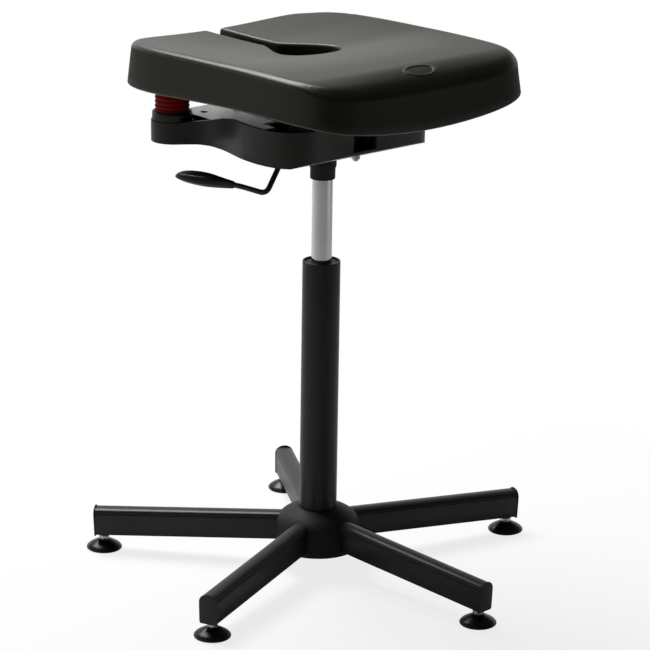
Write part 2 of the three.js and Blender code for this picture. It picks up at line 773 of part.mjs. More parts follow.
function makeBearingBlock() {
  const head = new THREE.Shape();
  const low = floorTop + gap;
  head.moveTo(-axleForward - blockHalfDepth, low);
  head.lineTo(-axleForward + blockHalfDepth, low);
  head.lineTo(-axleForward + blockHead, axleLevel);
  head.absarc(-axleForward, axleLevel, blockHead, 0, Math.PI);
  const foot = new THREE.Shape();
  const footFront = -axleForward - blockFootFront;
  foot.moveTo(blockInner, footFront);
  foot.lineTo(blockFootOuter, footFront);
  foot.lineTo(blockFootOuter, -axleForward - blockFootBack);
  foot.lineTo(blockInner, -axleForward - blockFootBack);
  const axleCut = alongX(new THREE.Shape().absarc(0, 0, axleRadius + gap, 0, fullTurn), blockInner - overrun,
    blockOuter + overrun, smallSides / 2);
  const screwCut = disc(screwRadius + gap, low - overrun, low + blockFoot + overrun, smallSides);
  return cutBy(joined(alongX(head, blockInner, blockOuter), raised(foot, low, low + blockFoot)),
    movedTo(axleCut, 0, -axleForward, axleLevel), movedTo(screwCut, screwAcross, -screwForward));
}

const bearingBlock = makeBearingBlock();
const axleSection = new THREE.Shape().absarc(0, 0, axleRadius, 0, fullTurn);
const blockScrew = makeScrew(housingBottom - gap, -1);
addPiece("bearing_block_left", bearingBlock, "steel");
addPiece("bearing_block_right", closed(bearingBlock.clone().scale(-1, 1, 1)), "steel");
addPiece("block_screw_left", blockScrew, "zinc").position.set(screwAcross, -screwForward, 0);
addPiece("block_screw_right", blockScrew, "zinc").position.set(-screwAcross, -screwForward, 0);
addPiece("tilt_axle", alongX(axleSection, -axleHalf, axleHalf, smallSides / 2), "steel")
  .position.set(0, -axleForward, axleLevel);

const stopLow = housingBottom - gap - stopNutHeight;
const stopTop = floorTop + gap;
const stopShaft = disc(stopShank, stopLow - stopTail, stopTop + stopHeadHeight / 2, smallSides);
const stopBolt = joined(stopShaft, hexagon(stopHead, stopTop, stopTop + stopHeadHeight));
const stopBore = disc(stopShank + gap, stopLow - overrun, housingBottom + overrun, smallSides);
const stopNutBody = cutBy(hexagon(stopNut, stopLow, stopLow + stopNutHeight), stopBore);
addPiece("stop_bolt", stopBolt, "zinc").position.y = -stopForward;
addPiece("stop_nut", stopNutBody, "zinc").position.y = -stopForward;

// Spring cups and ribbed rubber springs

const cupLow = rearTop + gap;
const springLow = cupLow + cupFloor + gap;
const springHigh = boardBottom - gap;

function makeCup() {
  const inner = cupRadius - cupWall;
  const high = cupLow + cupHeight;
  return turned([
    [0, cupLow], [cupRadius, cupLow], [cupRadius, high - cupRound], [cupRadius - cupChamfer, high - cupChamfer],
    [cupRadius - cupRound, high], [inner, high], [inner, cupLow + cupFloor], [0, cupLow + cupFloor],
  ], roundSides);
}

// The side swells to a crest and draws in to a groove once a rib.
function makeSpring() {
  const pairs = [[0, springLow]];
  const steps = 2 * springRibs;
  for (let i = 0; i <= steps; i++) {
    const radius = i % 2 === 0 ? springRadius - springRibDepth : springRadius;
    pairs.push([radius, springLow + ((springHigh - springLow) * i) / steps]);
  }
  pairs.push([0, springHigh]);
  return turned(pairs, roundSides);
}

const cup = makeCup();
const spring = makeSpring();
[["left", 1], ["right", -1]].forEach(([side, sign]) => {
  addPiece(`spring_cup_${side}`, cup, "mouldedBlack").position.set(sign * bossAcross, bossBack, 0);
  addPiece(`seat_spring_${side}`, spring, "redRubber").position.set(sign * bossAcross, bossBack, 0);
});

// Release lever: a bent rod through a pivot hub, with a moulded handle

// A round bar along straight runs joined by short bends.
function bentBar(corners, radius, bend, sides) {
  const route = new THREE.CurvePath();
  let from = corners[0];
  for (let i = 1; i < corners.length - 1; i++) {
    const into = corners[i].clone().add(from.clone().sub(corners[i]).setLength(bend));
    const out = corners[i].clone().add(corners[i + 1].clone().sub(corners[i]).setLength(bend));
    route.add(new THREE.LineCurve3(from, into));
    route.add(new THREE.QuadraticBezierCurve3(into, corners[i], out));
    from = out;
  }
  route.add(new THREE.LineCurve3(from, corners[corners.length - 1]));
  const section = new THREE.Shape().absarc(0, 0, radius, 0, fullTurn);
  const steps = Math.round(route.getLength() / (2 * radius));
  return closed(new THREE.ExtrudeGeometry(section, { steps, extrudePath: route, curveSegments: sides / 2 }));
}

const elbowLevel = housingBottom - leverElbowDrop;
const elbow = new THREE.Vector3(-leverElbowAcross, -leverElbowForward, elbowLevel);
const leverTip = new THREE.Vector3(-leverTipAcross, leverTipBack, housingBottom - leverTipDrop);
const knee = new THREE.Vector3(-leverKneeOut, leverKneeBack, leverKneeRise).add(elbow);
const handleWay = leverTip.clone().sub(knee).normalize();
const handleStart = leverTip.clone().addScaledVector(handleWay, -handleLength);
const leverCorners = [
  new THREE.Vector3(leverReach, 0, leverLevel),
  new THREE.Vector3(leverInside - leverTurnAcross, leverInsideBack, leverLevel),
  new THREE.Vector3(-leverTurnAcross, -leverTurnForward, floorTop + leverTurnRise),
  elbow,
  knee,
  handleStart.clone().addScaledVector(handleWay, rodInHandle),
];

function alongY(radius, half, sides) {
  return closed(new THREE.CylinderGeometry(radius, radius, 2 * half, sides));
}

function makeLever() {
  const bar = bentBar(leverCorners, leverRod, leverBend, smallSides - 4);
  const hub = movedTo(alongY(leverHub, leverHubHalf, smallSides), -leverPivotAcross, 0, leverLevel);
  const bore = alongY(leverPin + gap, leverHubHalf + overrun, smallSides);
  return cutBy(joined(bar, hub), movedTo(bore, -leverPivotAcross, 0, leverLevel));
}

// The handle is drawn flat along its own x axis, then laid along the end of the rod.
function makeHandle() {
  const outline = new THREE.Shape();
  const neck = handleLength * handleNeckShare;
  const wide = handleLength * handleWideShare;
  const nose = handleLength * handleNoseShare;
  const noseHalf = handleHalf * handleNoseWidth;
  const start = handleBevel;
  const end = handleLength - handleBevel;
  outline.moveTo(start, -handleNeck);
  outline.quadraticCurveTo(neck, -handleNeck, wide, -handleHalf);
  outline.quadraticCurveTo(nose, -handleHalf, end, -noseHalf);
  outline.lineTo(end, noseHalf);
  outline.quadraticCurveTo(nose, handleHalf, wide, handleHalf);
  outline.quadraticCurveTo(neck, handleNeck, start, handleNeck);
  const blade = new THREE.ExtrudeGeometry(outline, {
    depth: handleThick, bevelThickness: handleBevel, bevelSize: handleBevel, bevelSegments: 1, curveSegments: 6,
  });
  blade.translate(0, 0, -handleThick / 2);
  const bossEnd = handleBoss * handleBossTaper;
  const body = turned([[0, 0], [handleBoss, 0], [handleBoss, handleBossLength / 2], [bossEnd, handleBossLength],
    [0, handleBossLength]], smallSides).rotateY(Math.PI / 2);
  const bore = disc(leverRod + gap, -overrun, rodInHandle + gap, smallSides).rotateY(Math.PI / 2);
  const flat = cutBy(joined(blade, body), bore).rotateX(handleRoll);
  const side = new THREE.Vector3(0, 0, 1).cross(handleWay).normalize();
  const up = handleWay.clone().cross(side);
  flat.applyMatrix4(new THREE.Matrix4().makeBasis(handleWay, side, up));
  return flat.translate(handleStart.x, handleStart.y, handleStart.z);
}

function makeLeverBracket() {
  const low = floorTop + gap;
  const halfBase = leverHubHalf + gap + bracketEar;
  const base = new THREE.Shape();
  base.moveTo(-leverPivotAcross - bracketHalf, -halfBase);
  base.lineTo(-leverPivotAcross + bracketHalf, -halfBase);
  base.lineTo(-leverPivotAcross + bracketHalf, halfBase);
  base.lineTo(-leverPivotAcross - bracketHalf, halfBase);
  const ear = new THREE.CylinderGeometry(leverHub, leverHub, bracketEar, smallSides);
  const web = new THREE.BoxGeometry(2 * leverHub, bracketEar, leverLevel - low);
  const ears = [-1, 1].flatMap((sign) => {
    const y = sign * (halfBase - bracketEar / 2);
    return [movedTo(closed(ear), -leverPivotAcross, y, leverLevel),
      movedTo(closed(web), -leverPivotAcross, y, (leverLevel + low) / 2)];
  });
  const bore = movedTo(alongY(leverPin + gap, halfBase + overrun, smallSides), -leverPivotAcross, 0, leverLevel);
  return cutBy(joined(raised(base, low, low + bracketBase), ...ears), bore);
}

addPiece("lever_rod", makeLever(), "powderCoat");
addPiece("lever_handle", makeHandle(), "mouldedBlack");
addPiece("lever_bracket", makeLeverBracket(), "steel");
addPiece("lever_pin", alongY(leverPin, leverHubHalf + bracketEar + 2 * gap, smallSides), "steel")
  .position.set(-leverPivotAcross, 0, leverLevel);

// Seat: moulded foam pad on a board, and the steel carrier that swings on the axle

const seatMiddle = (seatBack - seatFront) / 2;
const seatHalfLength = (seatBack + seatFront) / 2;
const seatSides = 84;

// Shares of the seat's rise, from the front edge to the back, along its middle and along its sides.
const middleShares = [0.93, 0.975, 0.985, 0.93, 0.8, 0.7, 0.63, 0.61, 0.62];
const sideShares = [0.95, 0.985, 1, 1, 0.985, 0.96, 0.925, 0.885, 0.84];

function shareAt(shares, y) {
  const spot = THREE.MathUtils.clamp((y + seatFront) / (seatFront + seatBack), 0, 1) * (shares.length - 1);
  const low = Math.min(Math.floor(spot), shares.length - 2);
  return THREE.MathUtils.lerp(shares[low], shares[low + 1], spot - low);
}

function seatTopAt(x, y) {
  const dish = Math.min(1, (x / seatHalf) ** 2);
  return boardBottom + seatRise * THREE.MathUtils.lerp(shareAt(middleShares, y), shareAt(sideShares, y), dish);
}

// The rim hangs lowest at the middle of the front, and lifts along the sides.
function rimAt(spot) {
  const lift = (rimLow - rimSideLow) * smoothStep(seatBack, -seatFront / 2, spot.y);
  const middle = Math.max(0, 1 - (spot.x / seatHalf) ** 2);
  const skirt = (rimFrontLow - rimSideLow) * smoothStep(-seatFront / 2, -seatFront, spot.y) * middle;
  return boardBottom - rimLow + lift - skirt;
}

// A point of the seat's outline, drawn in by a margin, at an angle about the seat's middle.
function seatEdge(angle, margin) {
  const across = Math.abs(Math.cos(angle)) / (seatHalf - margin);
  const along = Math.abs(Math.sin(angle)) / (seatHalfLength - margin);
  const square = Math.sin(angle) > 0 ? seatSquareBack : seatSquareFront;
  const reach = (across ** square + along ** square) ** (-1 / square);
  return new THREE.Vector2(reach * Math.cos(angle), seatMiddle + reach * Math.sin(angle));
}

// One ring round the pad: how far it is drawn in, and its height at each point.
function padRing(inset, height) {
  return Array.from({ length: seatSides }, (_, i) => {
    const angle = (i * fullTurn) / seatSides;
    const edge = seatEdge(angle, 0);
    const spot = seatEdge(angle, inset(edge));
    return new THREE.Vector3(spot.x, spot.y, height(spot, edge));
  });
}

// Joins rings into one closed skin, with a point at the middle of the underside and of the top.
function skinOf(rings, lowPoint, highPoint) {
  const sides = rings[0].length;
  const points = [lowPoint, ...rings.flat(), highPoint];
  const faces = [];
  const at = (level, i) => 1 + level * sides + (i % sides);
  for (let i = 0; i < sides; i++) {
    faces.push(0, at(0, i + 1), at(0, i));
    for (let level = 0; level < rings.length - 1; level++) {
      faces.push(at(level, i), at(level, i + 1), at(level + 1, i + 1));
      faces.push(at(level, i), at(level + 1, i + 1), at(level + 1, i));
    }
    faces.push(at(rings.length - 1, i), at(rings.length - 1, i + 1), points.length - 1);
  }
  const skin = new THREE.BufferGeometry().setFromPoints(points);
  skin.setIndex(faces);
  return skin;
}

function makePadBody() {
  const front = (spot) => {
    const middle = 1 - cornerRound * (spot.x / seatHalf) ** 2;
    return middle * smoothStep(-seatFront * frontStart, -seatFront * frontFull, spot.y);
  };
  const roundIn = (spot) => THREE.MathUtils.lerp(edgeRound, frontRound, front(spot));
  const roundDown = (spot) => THREE.MathUtils.lerp(edgeDrop, frontDrop, front(spot));
  const rings = [
    padRing(() => bottomRound, (p, edge) => rimAt(edge)),
    padRing(() => 0, (p, edge) => rimAt(edge) + bottomRound),
  ];
  const roundSteps = 4;
  for (let i = 0; i <= roundSteps; i++) {
    const turn = (i / roundSteps) * (Math.PI / 2);
    const inset = (spot) => sideDraft + roundIn(spot) * (1 - Math.cos(turn));
    rings.push(padRing(inset, (p, edge) => seatTopAt(p.x, p.y) - roundDown(edge) * (1 - Math.sin(turn))));
  }
  const last = rings[rings.length - 1];
  padRingShares.forEach((share) => {
    rings.push(last.map((p) => {
      const spot = new THREE.Vector2(p.x * share, seatMiddle + (p.y - seatMiddle) * share);
      return new THREE.Vector3(spot.x, spot.y, seatTopAt(spot.x, spot.y));
    }));
  });
  const low = new THREE.Vector3(0, seatMiddle, boardBottom - rimLow);
  return skinOf(rings, low, new THREE.Vector3(0, seatMiddle, seatTopAt(0, seatMiddle)));
}

// Pear-shaped hole with a slot that runs out through the back edge.
function keyholeShape(margin) {
  const half = slotHalf + margin;
  const radius = holeRadius + margin;
  const out = seatBack + overrun + overrun;
  const bow = (slotNeckBack - holeBack) / 2;
  const shape = new THREE.Shape();
  shape.moveTo(half, out);
  shape.lineTo(-half, out);
  shape.lineTo(-half, slotNeckBack);
  shape.bezierCurveTo(-half, slotNeckBack - bow, -radius, holeBack + bow, -radius, holeBack);
  shape.absarc(0, holeBack, radius, Math.PI, fullTurn);
  shape.bezierCurveTo(radius, holeBack + bow, half, slotNeckBack - bow, half, slotNeckBack);
  shape.lineTo(half, out);
  return shape;
}

function boardShape(margin) {
  const points = Array.from({ length: seatSides }, (_, i) => seatEdge((i * fullTurn) / seatSides, margin));
  return new THREE.Shape(points);
}

function makeSeatPad() {
  const keyhole = raised(keyholeShape(0), boardBottom - rimFrontLow - overrun, seatHigh + overrun, 8);
  const recess = raised(boardShape(rimThick), boardBottom - rimFrontLow - overrun, boardTop + gap);
  return cutBy(makePadBody(), keyhole, recess);
}

function eachBolt(place) {
  return boltSpots.flatMap(([across, forward]) => [-1, 1].map((side) => place(side * across, -forward)));
}

function makeBoard() {
  const keyhole = raised(keyholeShape(keyholeMargin), boardBottom - overrun, boardTop + overrun, 8);
  const bolt = disc(boltRadius + gap, boardBottom - overrun, boardBottom + boltInBoard + gap, smallSides);
  const holes = eachBolt((x, y) => movedTo(bolt, x, y));
  return cutBy(raised(boardShape(rimThick + gap), boardBottom, boardTop), keyhole, ...holes);
}

const carrierHigh = boardBottom - gap;
const carrierLow = carrierHigh - carrierThick;

function makeCarrier() {
  const plate = new THREE.Shape();
  plate.moveTo(-carrierHalf, carrierBack);
  plate.lineTo(-carrierHalf, -carrierFront + carrierCorner);
  plate.quadraticCurveTo(-carrierHalf, -carrierFront, -carrierHalf + carrierCorner, -carrierFront);
  plate.lineTo(carrierHalf - carrierCorner, -carrierFront);
  plate.quadraticCurveTo(carrierHalf, -carrierFront, carrierHalf, -carrierFront + carrierCorner);
  plate.lineTo(carrierHalf, carrierBack);
  const arm = new THREE.Shape();
  const middle = carrierHigh - carrierThick / 2;
  arm.moveTo(-axleForward - flangeTopRear, middle);
  arm.lineTo(-axleForward - flangeTopFront, middle);
  arm.absarc(-axleForward, axleLevel, flangeHead, Math.PI, (3 * Math.PI) / 2);
  arm.lineTo(-axleForward + flangeHeel, axleLevel - flangeHeelDrop);
  const flange = alongX(arm, flangeAcross, flangeAcross + carrierThick);
  const axle = new THREE.Shape().absarc(0, 0, axleRadius + gap, 0, fullTurn);
  const bore = movedTo(alongX(axle, -axleHalf - overrun, axleHalf + overrun, smallSides / 2), 0, -axleForward,
    axleLevel);
  const bolt = disc(boltRadius + gap, carrierLow - overrun, carrierHigh + overrun, smallSides);
  const holes = eachBolt((x, y) => movedTo(bolt, x, y));
  const otherFlange = movedTo(flange, -2 * flangeAcross - carrierThick, 0);
  return cutBy(joined(raised(plate, carrierLow, carrierHigh), flange, otherFlange), bore, ...holes);
}

const carrierBolt = joined(
  disc(boltRadius, carrierLow - gap - boltHeadHeight / 2, boardBottom + boltInBoard, smallSides),
  hexagon(boltHead, carrierLow - gap - boltHeadHeight, carrierLow - gap),
);

addPiece("seat_pad", makeSeatPad(), "foam");
addPiece("seat_board", makeBoard(), "board");
addPiece("seat_carrier", makeCarrier(), "steel");
const boltNames = ["rear_right", "rear_left", "front_right", "front_left"];
eachBolt((x, y) => [x, y]).forEach(([x, y], i) => {
  addPiece(`carrier_bolt_${boltNames[i]}`, carrierBolt, "zinc").position.set(x, y, 0);
});

// The origin is the middle of the rectangle that the five feet cover
const footSpots = legAngles.map((angle) => [footCircle * Math.cos(angle), footCircle * Math.sin(angle)]);
const middleOf = (values) => (Math.min(...values) + Math.max(...values)) / 2;
stool.position.set(-middleOf(footSpots.map((spot) => spot[0])), -middleOf(footSpots.map((spot) => spot[1])), 0);

export default stool;
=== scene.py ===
"""Perch stool: a five-leg base on levelling feet, a gas-spring column, a sprung tilt mechanism
with a release lever, and a moulded foam seat with a keyhole slot.

Every piece is drawn in millimetres about the column axis, with the floor at 0 and the sitter
facing -Y, and is set down in the frame when it is done.
"""
import json
import math

import bmesh
import bpy
from mathutils import Matrix, Vector
from mathutils.geometry import delaunay_2d_cdt
from mathutils.kdtree import KDTree
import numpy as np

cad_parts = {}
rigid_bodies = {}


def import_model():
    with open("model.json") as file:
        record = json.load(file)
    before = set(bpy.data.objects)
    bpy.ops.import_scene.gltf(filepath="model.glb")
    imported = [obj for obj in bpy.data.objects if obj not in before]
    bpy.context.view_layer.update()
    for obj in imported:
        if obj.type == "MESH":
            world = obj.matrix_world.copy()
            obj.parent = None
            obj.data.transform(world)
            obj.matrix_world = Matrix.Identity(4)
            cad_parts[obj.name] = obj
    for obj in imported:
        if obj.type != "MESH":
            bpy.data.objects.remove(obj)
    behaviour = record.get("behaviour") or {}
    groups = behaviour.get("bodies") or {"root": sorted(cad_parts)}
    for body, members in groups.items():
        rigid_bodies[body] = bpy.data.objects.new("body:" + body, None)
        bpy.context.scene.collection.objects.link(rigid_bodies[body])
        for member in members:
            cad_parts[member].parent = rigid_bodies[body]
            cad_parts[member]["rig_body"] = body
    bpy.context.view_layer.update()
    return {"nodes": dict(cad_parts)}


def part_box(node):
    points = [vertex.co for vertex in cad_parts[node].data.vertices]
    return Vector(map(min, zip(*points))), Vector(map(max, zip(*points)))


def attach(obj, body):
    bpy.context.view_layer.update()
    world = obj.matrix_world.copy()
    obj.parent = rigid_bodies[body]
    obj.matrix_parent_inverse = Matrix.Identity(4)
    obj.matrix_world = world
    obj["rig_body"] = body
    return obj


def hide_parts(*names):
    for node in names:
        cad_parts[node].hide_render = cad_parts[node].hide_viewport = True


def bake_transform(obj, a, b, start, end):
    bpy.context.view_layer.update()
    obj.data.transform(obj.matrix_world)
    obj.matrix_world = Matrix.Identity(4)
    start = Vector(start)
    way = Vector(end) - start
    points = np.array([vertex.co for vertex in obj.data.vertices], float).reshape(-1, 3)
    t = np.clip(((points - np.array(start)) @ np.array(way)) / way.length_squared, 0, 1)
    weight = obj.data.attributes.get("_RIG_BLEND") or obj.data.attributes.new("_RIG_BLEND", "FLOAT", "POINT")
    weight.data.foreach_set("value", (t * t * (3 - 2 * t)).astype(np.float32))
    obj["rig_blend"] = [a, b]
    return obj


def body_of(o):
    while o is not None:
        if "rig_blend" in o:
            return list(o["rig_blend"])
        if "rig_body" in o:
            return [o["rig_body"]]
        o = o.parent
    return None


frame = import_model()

MM = 0.001
UP = Vector((0, 0, 1))
FULL_TURN = 2 * math.pi


def in_mm(node):
    """Lowest and highest corner of a CAD node, in millimetres."""
    low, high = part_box(node)
    return low / MM, high / MM


# The column axis, from the tube that stands on it
tube_low, tube_high = in_mm("column_tube")
AXIS = Vector(((tube_low.x + tube_high.x) / 2, (tube_low.y + tube_high.y) / 2, 0))


# Camera

# Fitted to the photo: its place, the way it looks (turned from +Y towards +X, dipped and rolled),
# its lens and sensor in millimetres, and how far it sees in metres
CAMERA_FROM = Vector((-2691.4, -3096.1, 1609.4))
CAMERA_TURN = math.radians(41)
CAMERA_DIP = math.radians(17.2547)
CAMERA_ROLL = math.radians(-0.84884)
CAMERA_LENS = 180.57
CAMERA_SENSOR = 36
CAMERA_SHIFT = 0.00687
CAMERA_REACH = 50


def place_camera():
    """The camera, from its turn, dip and roll."""
    ahead = Vector((math.sin(CAMERA_TURN), math.cos(CAMERA_TURN), 0))
    right = Vector((math.cos(CAMERA_TURN), -math.sin(CAMERA_TURN), 0))
    forward = ahead * math.cos(CAMERA_DIP) - UP * math.sin(CAMERA_DIP)
    upward = ahead * math.sin(CAMERA_DIP) + UP * math.cos(CAMERA_DIP)
    across = right * math.cos(CAMERA_ROLL) - upward * math.sin(CAMERA_ROLL)
    along = right * math.sin(CAMERA_ROLL) + upward * math.cos(CAMERA_ROLL)
    lens = bpy.data.cameras.new("camera")
    lens.lens = CAMERA_LENS
    lens.sensor_width = CAMERA_SENSOR
    lens.shift_x = CAMERA_SHIFT
    lens.clip_end = CAMERA_REACH
    camera = bpy.data.objects.new("camera", lens)
    turn = Matrix((across, along, -forward)).transposed().to_4x4()
    camera.matrix_world = Matrix.Translation((CAMERA_FROM + AXIS) * MM) @ turn
    bpy.context.scene.collection.objects.link(camera)
    bpy.context.scene.camera = camera


place_camera()


# Materials


def linear(hex_colour):
    """The linear colour of an sRGB hex value."""
    channels = [int(hex_colour[i:i + 2], 16) / 255 for i in (1, 3, 5)]
    return [c / 12.92 if c <= 0.04045 else ((c + 0.055) / 1.055) ** 2.4 for c in channels] + [1]


def add_node(tree, kind, settings=None, inputs=None):
    """Adds a node, gives it its settings, and links each input that is a socket or sets it."""
    node = tree.nodes.new(kind)
    for name, value in (settings or {}).items():
        setattr(node, name, value)
    for name, value in (inputs or {}).items():
        if isinstance(value, bpy.types.NodeSocket):
            tree.links.new(value, node.inputs[name])
        else:
            node.inputs[name].default_value = value
    return node


def smooth_ramp(tree, value, across, ends=(0.0, 1.0)):
    """A share that goes smoothly from one end to the other as a value crosses a range."""
    return add_node(tree, "ShaderNodeMapRange", {"interpolation_type": "SMOOTHSTEP"},
                    {"Value": value, "From Min": across[0], "From Max": across[1],
                     "To Min": ends[0], "To Max": ends[1]}).outputs[0]


def finish(name, colour, second, rough, *, metal=0.0, grain=1.0, grain_depth=0.03, patch=40.0,
           patch_share=0.5, rough_swing=0.06, stretch=(1, 1, 1), specular=0.5):
    """A finish from two close colours in soft patches, with a fine grain in its surface.

    grain and patch are sizes in millimetres, and grain_depth is the grain's height. patch_share
    is how much of the noise's range the two colours blend over. rough_swing is how far the grain
    moves the roughness. stretch packs the grain closer along an axis, as grinding does.
    """
    material = bpy.data.materials.new(name)
    material.use_nodes = True
    tree = material.node_tree
    tree.nodes.clear()
    place = add_node(tree, "ShaderNodeTexCoord").outputs["Object"]
    drawn = add_node(tree, "ShaderNodeMapping", None,
                     {"Vector": place, "Scale": stretch}).outputs[0]
    patches = add_node(tree, "ShaderNodeTexNoise", None,
                       {"Vector": place, "Scale": 1 / (patch * MM), "Detail": 3.0}).outputs[0]
    grains = add_node(tree, "ShaderNodeTexNoise", None,
                      {"Vector": drawn, "Scale": 1 / (grain * MM), "Detail": 4.0}).outputs[0]
    spread = smooth_ramp(tree, patches, (0.5 - patch_share / 2, 0.5 + patch_share / 2))
    tint = add_node(tree, "ShaderNodeMix", {"data_type": "RGBA"},
                    {0: spread, 6: linear(colour), 7: linear(second)}).outputs[2]
    roughness = add_node(tree, "ShaderNodeMapRange", None,
                         {"Value": grains, "To Min": rough - rough_swing,
                          "To Max": rough + rough_swing}).outputs[0]
    bump = add_node(tree, "ShaderNodeBump", None,
                    {"Height": grains, "Distance": grain_depth * MM, "Strength": 1.0}).outputs[0]
    shader = add_node(tree, "ShaderNodeBsdfPrincipled", None, {
        "Base Color": tint, "Roughness": roughness, "Normal": bump, "Metallic": metal,
        "Specular IOR Level": specular,
    })
    add_node(tree, "ShaderNodeOutputMaterial", None, {"Surface": shader.outputs[0]})
    return material


# Polyester powder coat on steel tube: black with a faint orange peel and a soft broad shine
powder_coat = finish("powder_coated_steel", "#1B1B1C", "#222223", 0.36, grain=1.6,
                     grain_depth=0.04, patch=60, rough_swing=0.05, specular=0.3)
# Sand-cast aluminium under black enamel: a coarser skin that the enamel only half fills
cast_enamel = finish("enamelled_cast_aluminium", "#252525", "#2C2C2C", 0.62, grain=1.1,
                     grain_depth=0.06, patch=30, rough_swing=0.08, specular=0.2)
# Glass-filled nylon from a sparked mould: charcoal, with a fine even sheen
moulded_nylon = finish("moulded_glass_nylon", "#15150F", "#1A1A14", 0.32, grain=0.9,
                       grain_depth=0.02, patch=35, rough_swing=0.06, specular=0.45)
# Rubber-like thermoplastic of the feet and caps: smooth, a little dusty
moulded_rubber = finish("moulded_foot_rubber", "#0B0B0C", "#121212", 0.34, grain=0.8,
                        grain_depth=0.02, patch=18, rough_swing=0.08, specular=0.4)
# Integral-skin polyurethane foam: a leathery skin with fine pores, olive-black and softly lit
foam_skin = finish("integral_skin_polyurethane", "#1C1D0E", "#222314", 0.38, grain=1.5,
                   grain_depth=0.04, patch=70, patch_share=0.7, rough_swing=0.06, specular=0.295)
# Moulded carrier board of the seat: dull black plastic
board_plastic = finish("moulded_seat_board", "#131313", "#181818", 0.6, grain=1.4,
                       grain_depth=0.05, patch=50, specular=0.3)
# Hard chrome on ground steel: bright, with the grinding lines running round the rod
chrome_plate = finish("hard_chrome_plate", "#C9CACC", "#D6D7D8", 0.14, metal=1.0, grain=3.0,
                      grain_depth=0.002, patch=90, rough_swing=0.03, stretch=(1, 1, 14))
# Bright zinc plating on pressed steel: bluish grey with a faint spangle
zinc_plate = finish("bright_zinc_plate", "#AEB2B3", "#C3C6C4", 0.3, metal=1.0, grain=2.0,
                    grain_depth=0.01, patch=9, rough_swing=0.09)
# Turned and drawn steel, oiled
drawn_steel = finish("drawn_steel", "#85888B", "#9A9C9E", 0.32, metal=1.0, grain=1.2,
                     grain_depth=0.01, patch=14, rough_swing=0.08)
# Red natural rubber of the springs: matt, with a faint bloom
red_rubber = finish("red_natural_rubber", "#720A09", "#860F0C", 0.55, grain=0.8, grain_depth=0.03,
                    patch=16, rough_swing=0.1, specular=0.1)
# Acetal bush: even dark grey, waxy
acetal = finish("grey_acetal", "#303134", "#3A3B3E", 0.42, grain=0.9, grain_depth=0.015, patch=20)


# Making pieces

# Points closer than these are merged, in the unit that the mesh has by then. A CAD copy is in
# metres when it is set down, where the first is a millimetre: that closes up again most of the
# small rounds on its edges, which stay sharp.
MERGE_WITHIN = 0.001
CAD_MERGE_WITHIN = 0.005
FLAT_WITHIN = math.radians(1)
SHARP_FROM = math.radians(50)


def set_down(name, bm, material, body, nodes, crease=32, placed=False):
    """Ends a piece: its mesh goes to the column axis in metres unless it is placed already, rides
    on its body and stands for its CAD nodes. A piece without a body is blended later. Edges
    sharper than the crease angle, in degrees, stay sharp."""
    bmesh.ops.remove_doubles(bm, verts=bm.verts, dist=MERGE_WITHIN)
    bmesh.ops.recalc_face_normals(bm, faces=bm.faces)
    if not placed:
        bmesh.ops.translate(bm, verts=bm.verts, vec=AXIS)
        bmesh.ops.scale(bm, verts=bm.verts, vec=Vector((MM, MM, MM)))
    mesh = bpy.data.meshes.new(name)
    bm.to_mesh(mesh)
    bm.free()
    mesh.polygons.foreach_set("use_smooth", [True] * len(mesh.polygons))
    mesh.set_sharp_from_angle(angle=math.radians(crease))
    mesh.materials.append(material)
    piece = bpy.data.objects.new(name, mesh)
    bpy.context.scene.collection.objects.link(piece)
    if body:
        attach(piece, body)
    if nodes:
        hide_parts(*nodes)
    return piece


def sharp_edges(bm):
    """The edges where two faces meet at a sharp angle."""
    return [e for e in bm.edges
            if len(e.link_faces) == 2 and e.calc_face_angle(0) > SHARP_FROM]


def refined(node, material, edge, shape):
    """The CAD solid with its doubled corners merged and a small round on its sharp edges. Where
    a shape is given, it is done before the rounds, in millimetres about the column axis."""
    bm = bmesh.new()
    bm.from_mesh(frame["nodes"][node].data)
    bmesh.ops.scale(bm, verts=bm.verts, vec=Vector((1 / MM, 1 / MM, 1 / MM)))
    bmesh.ops.remove_doubles(bm, verts=bm.verts, dist=CAD_MERGE_WITHIN)
    bmesh.ops.dissolve_limit(bm, angle_limit=FLAT_WITHIN, verts=bm.verts, edges=bm.edges)
    if shape:
        bmesh.ops.translate(bm, verts=bm.verts, vec=-AXIS)
        shape(bm)
        bmesh.ops.translate(bm, verts=bm.verts, vec=AXIS)
    bmesh.ops.bevel(bm, geom=sharp_edges(bm), offset=edge, segments=2, profile=0.5,
                    affect="EDGES", clamp_overlap=True, material=-1)
    bmesh.ops.scale(bm, verts=bm.verts, vec=Vector((MM, MM, MM)))
    body = body_of(frame["nodes"][node])[0]
    piece = set_down(node + "_dressed", bm, material, body, [node], placed=True)
    # Flat faces stay flat to the eye
    piece.modifiers.new("flat_faces", "WEIGHTED_NORMAL").keep_sharp = True


def eased(corners, steps=5):
    """A flat line through corners, each (across, up) or (across, up, radius of its rounding)."""
    line = []
    for i, corner in enumerate(corners):
        here = Vector(corner[:2])
        if len(corner) < 3:
            line.append(here)
            continue
        back = (Vector(corners[i - 1][:2]) - here).normalized() * corner[2]
        on = (Vector(corners[(i + 1) % len(corners)][:2]) - here).normalized() * corner[2]
        for step in range(steps + 1):
            t = step / steps
            line.append(here + back * (1 - t) ** 2 + on * t ** 2)
    return line


def bezier(a, b, c, d, steps):
    """Points on a curve of four handles, without the first."""
    line = []
    for i in range(1, steps + 1):
        t = i / steps
        line.append(a * (1 - t) ** 3 + b * 3 * t * (1 - t) ** 2
                    + c * 3 * t * t * (1 - t) + d * t ** 3)
    return line


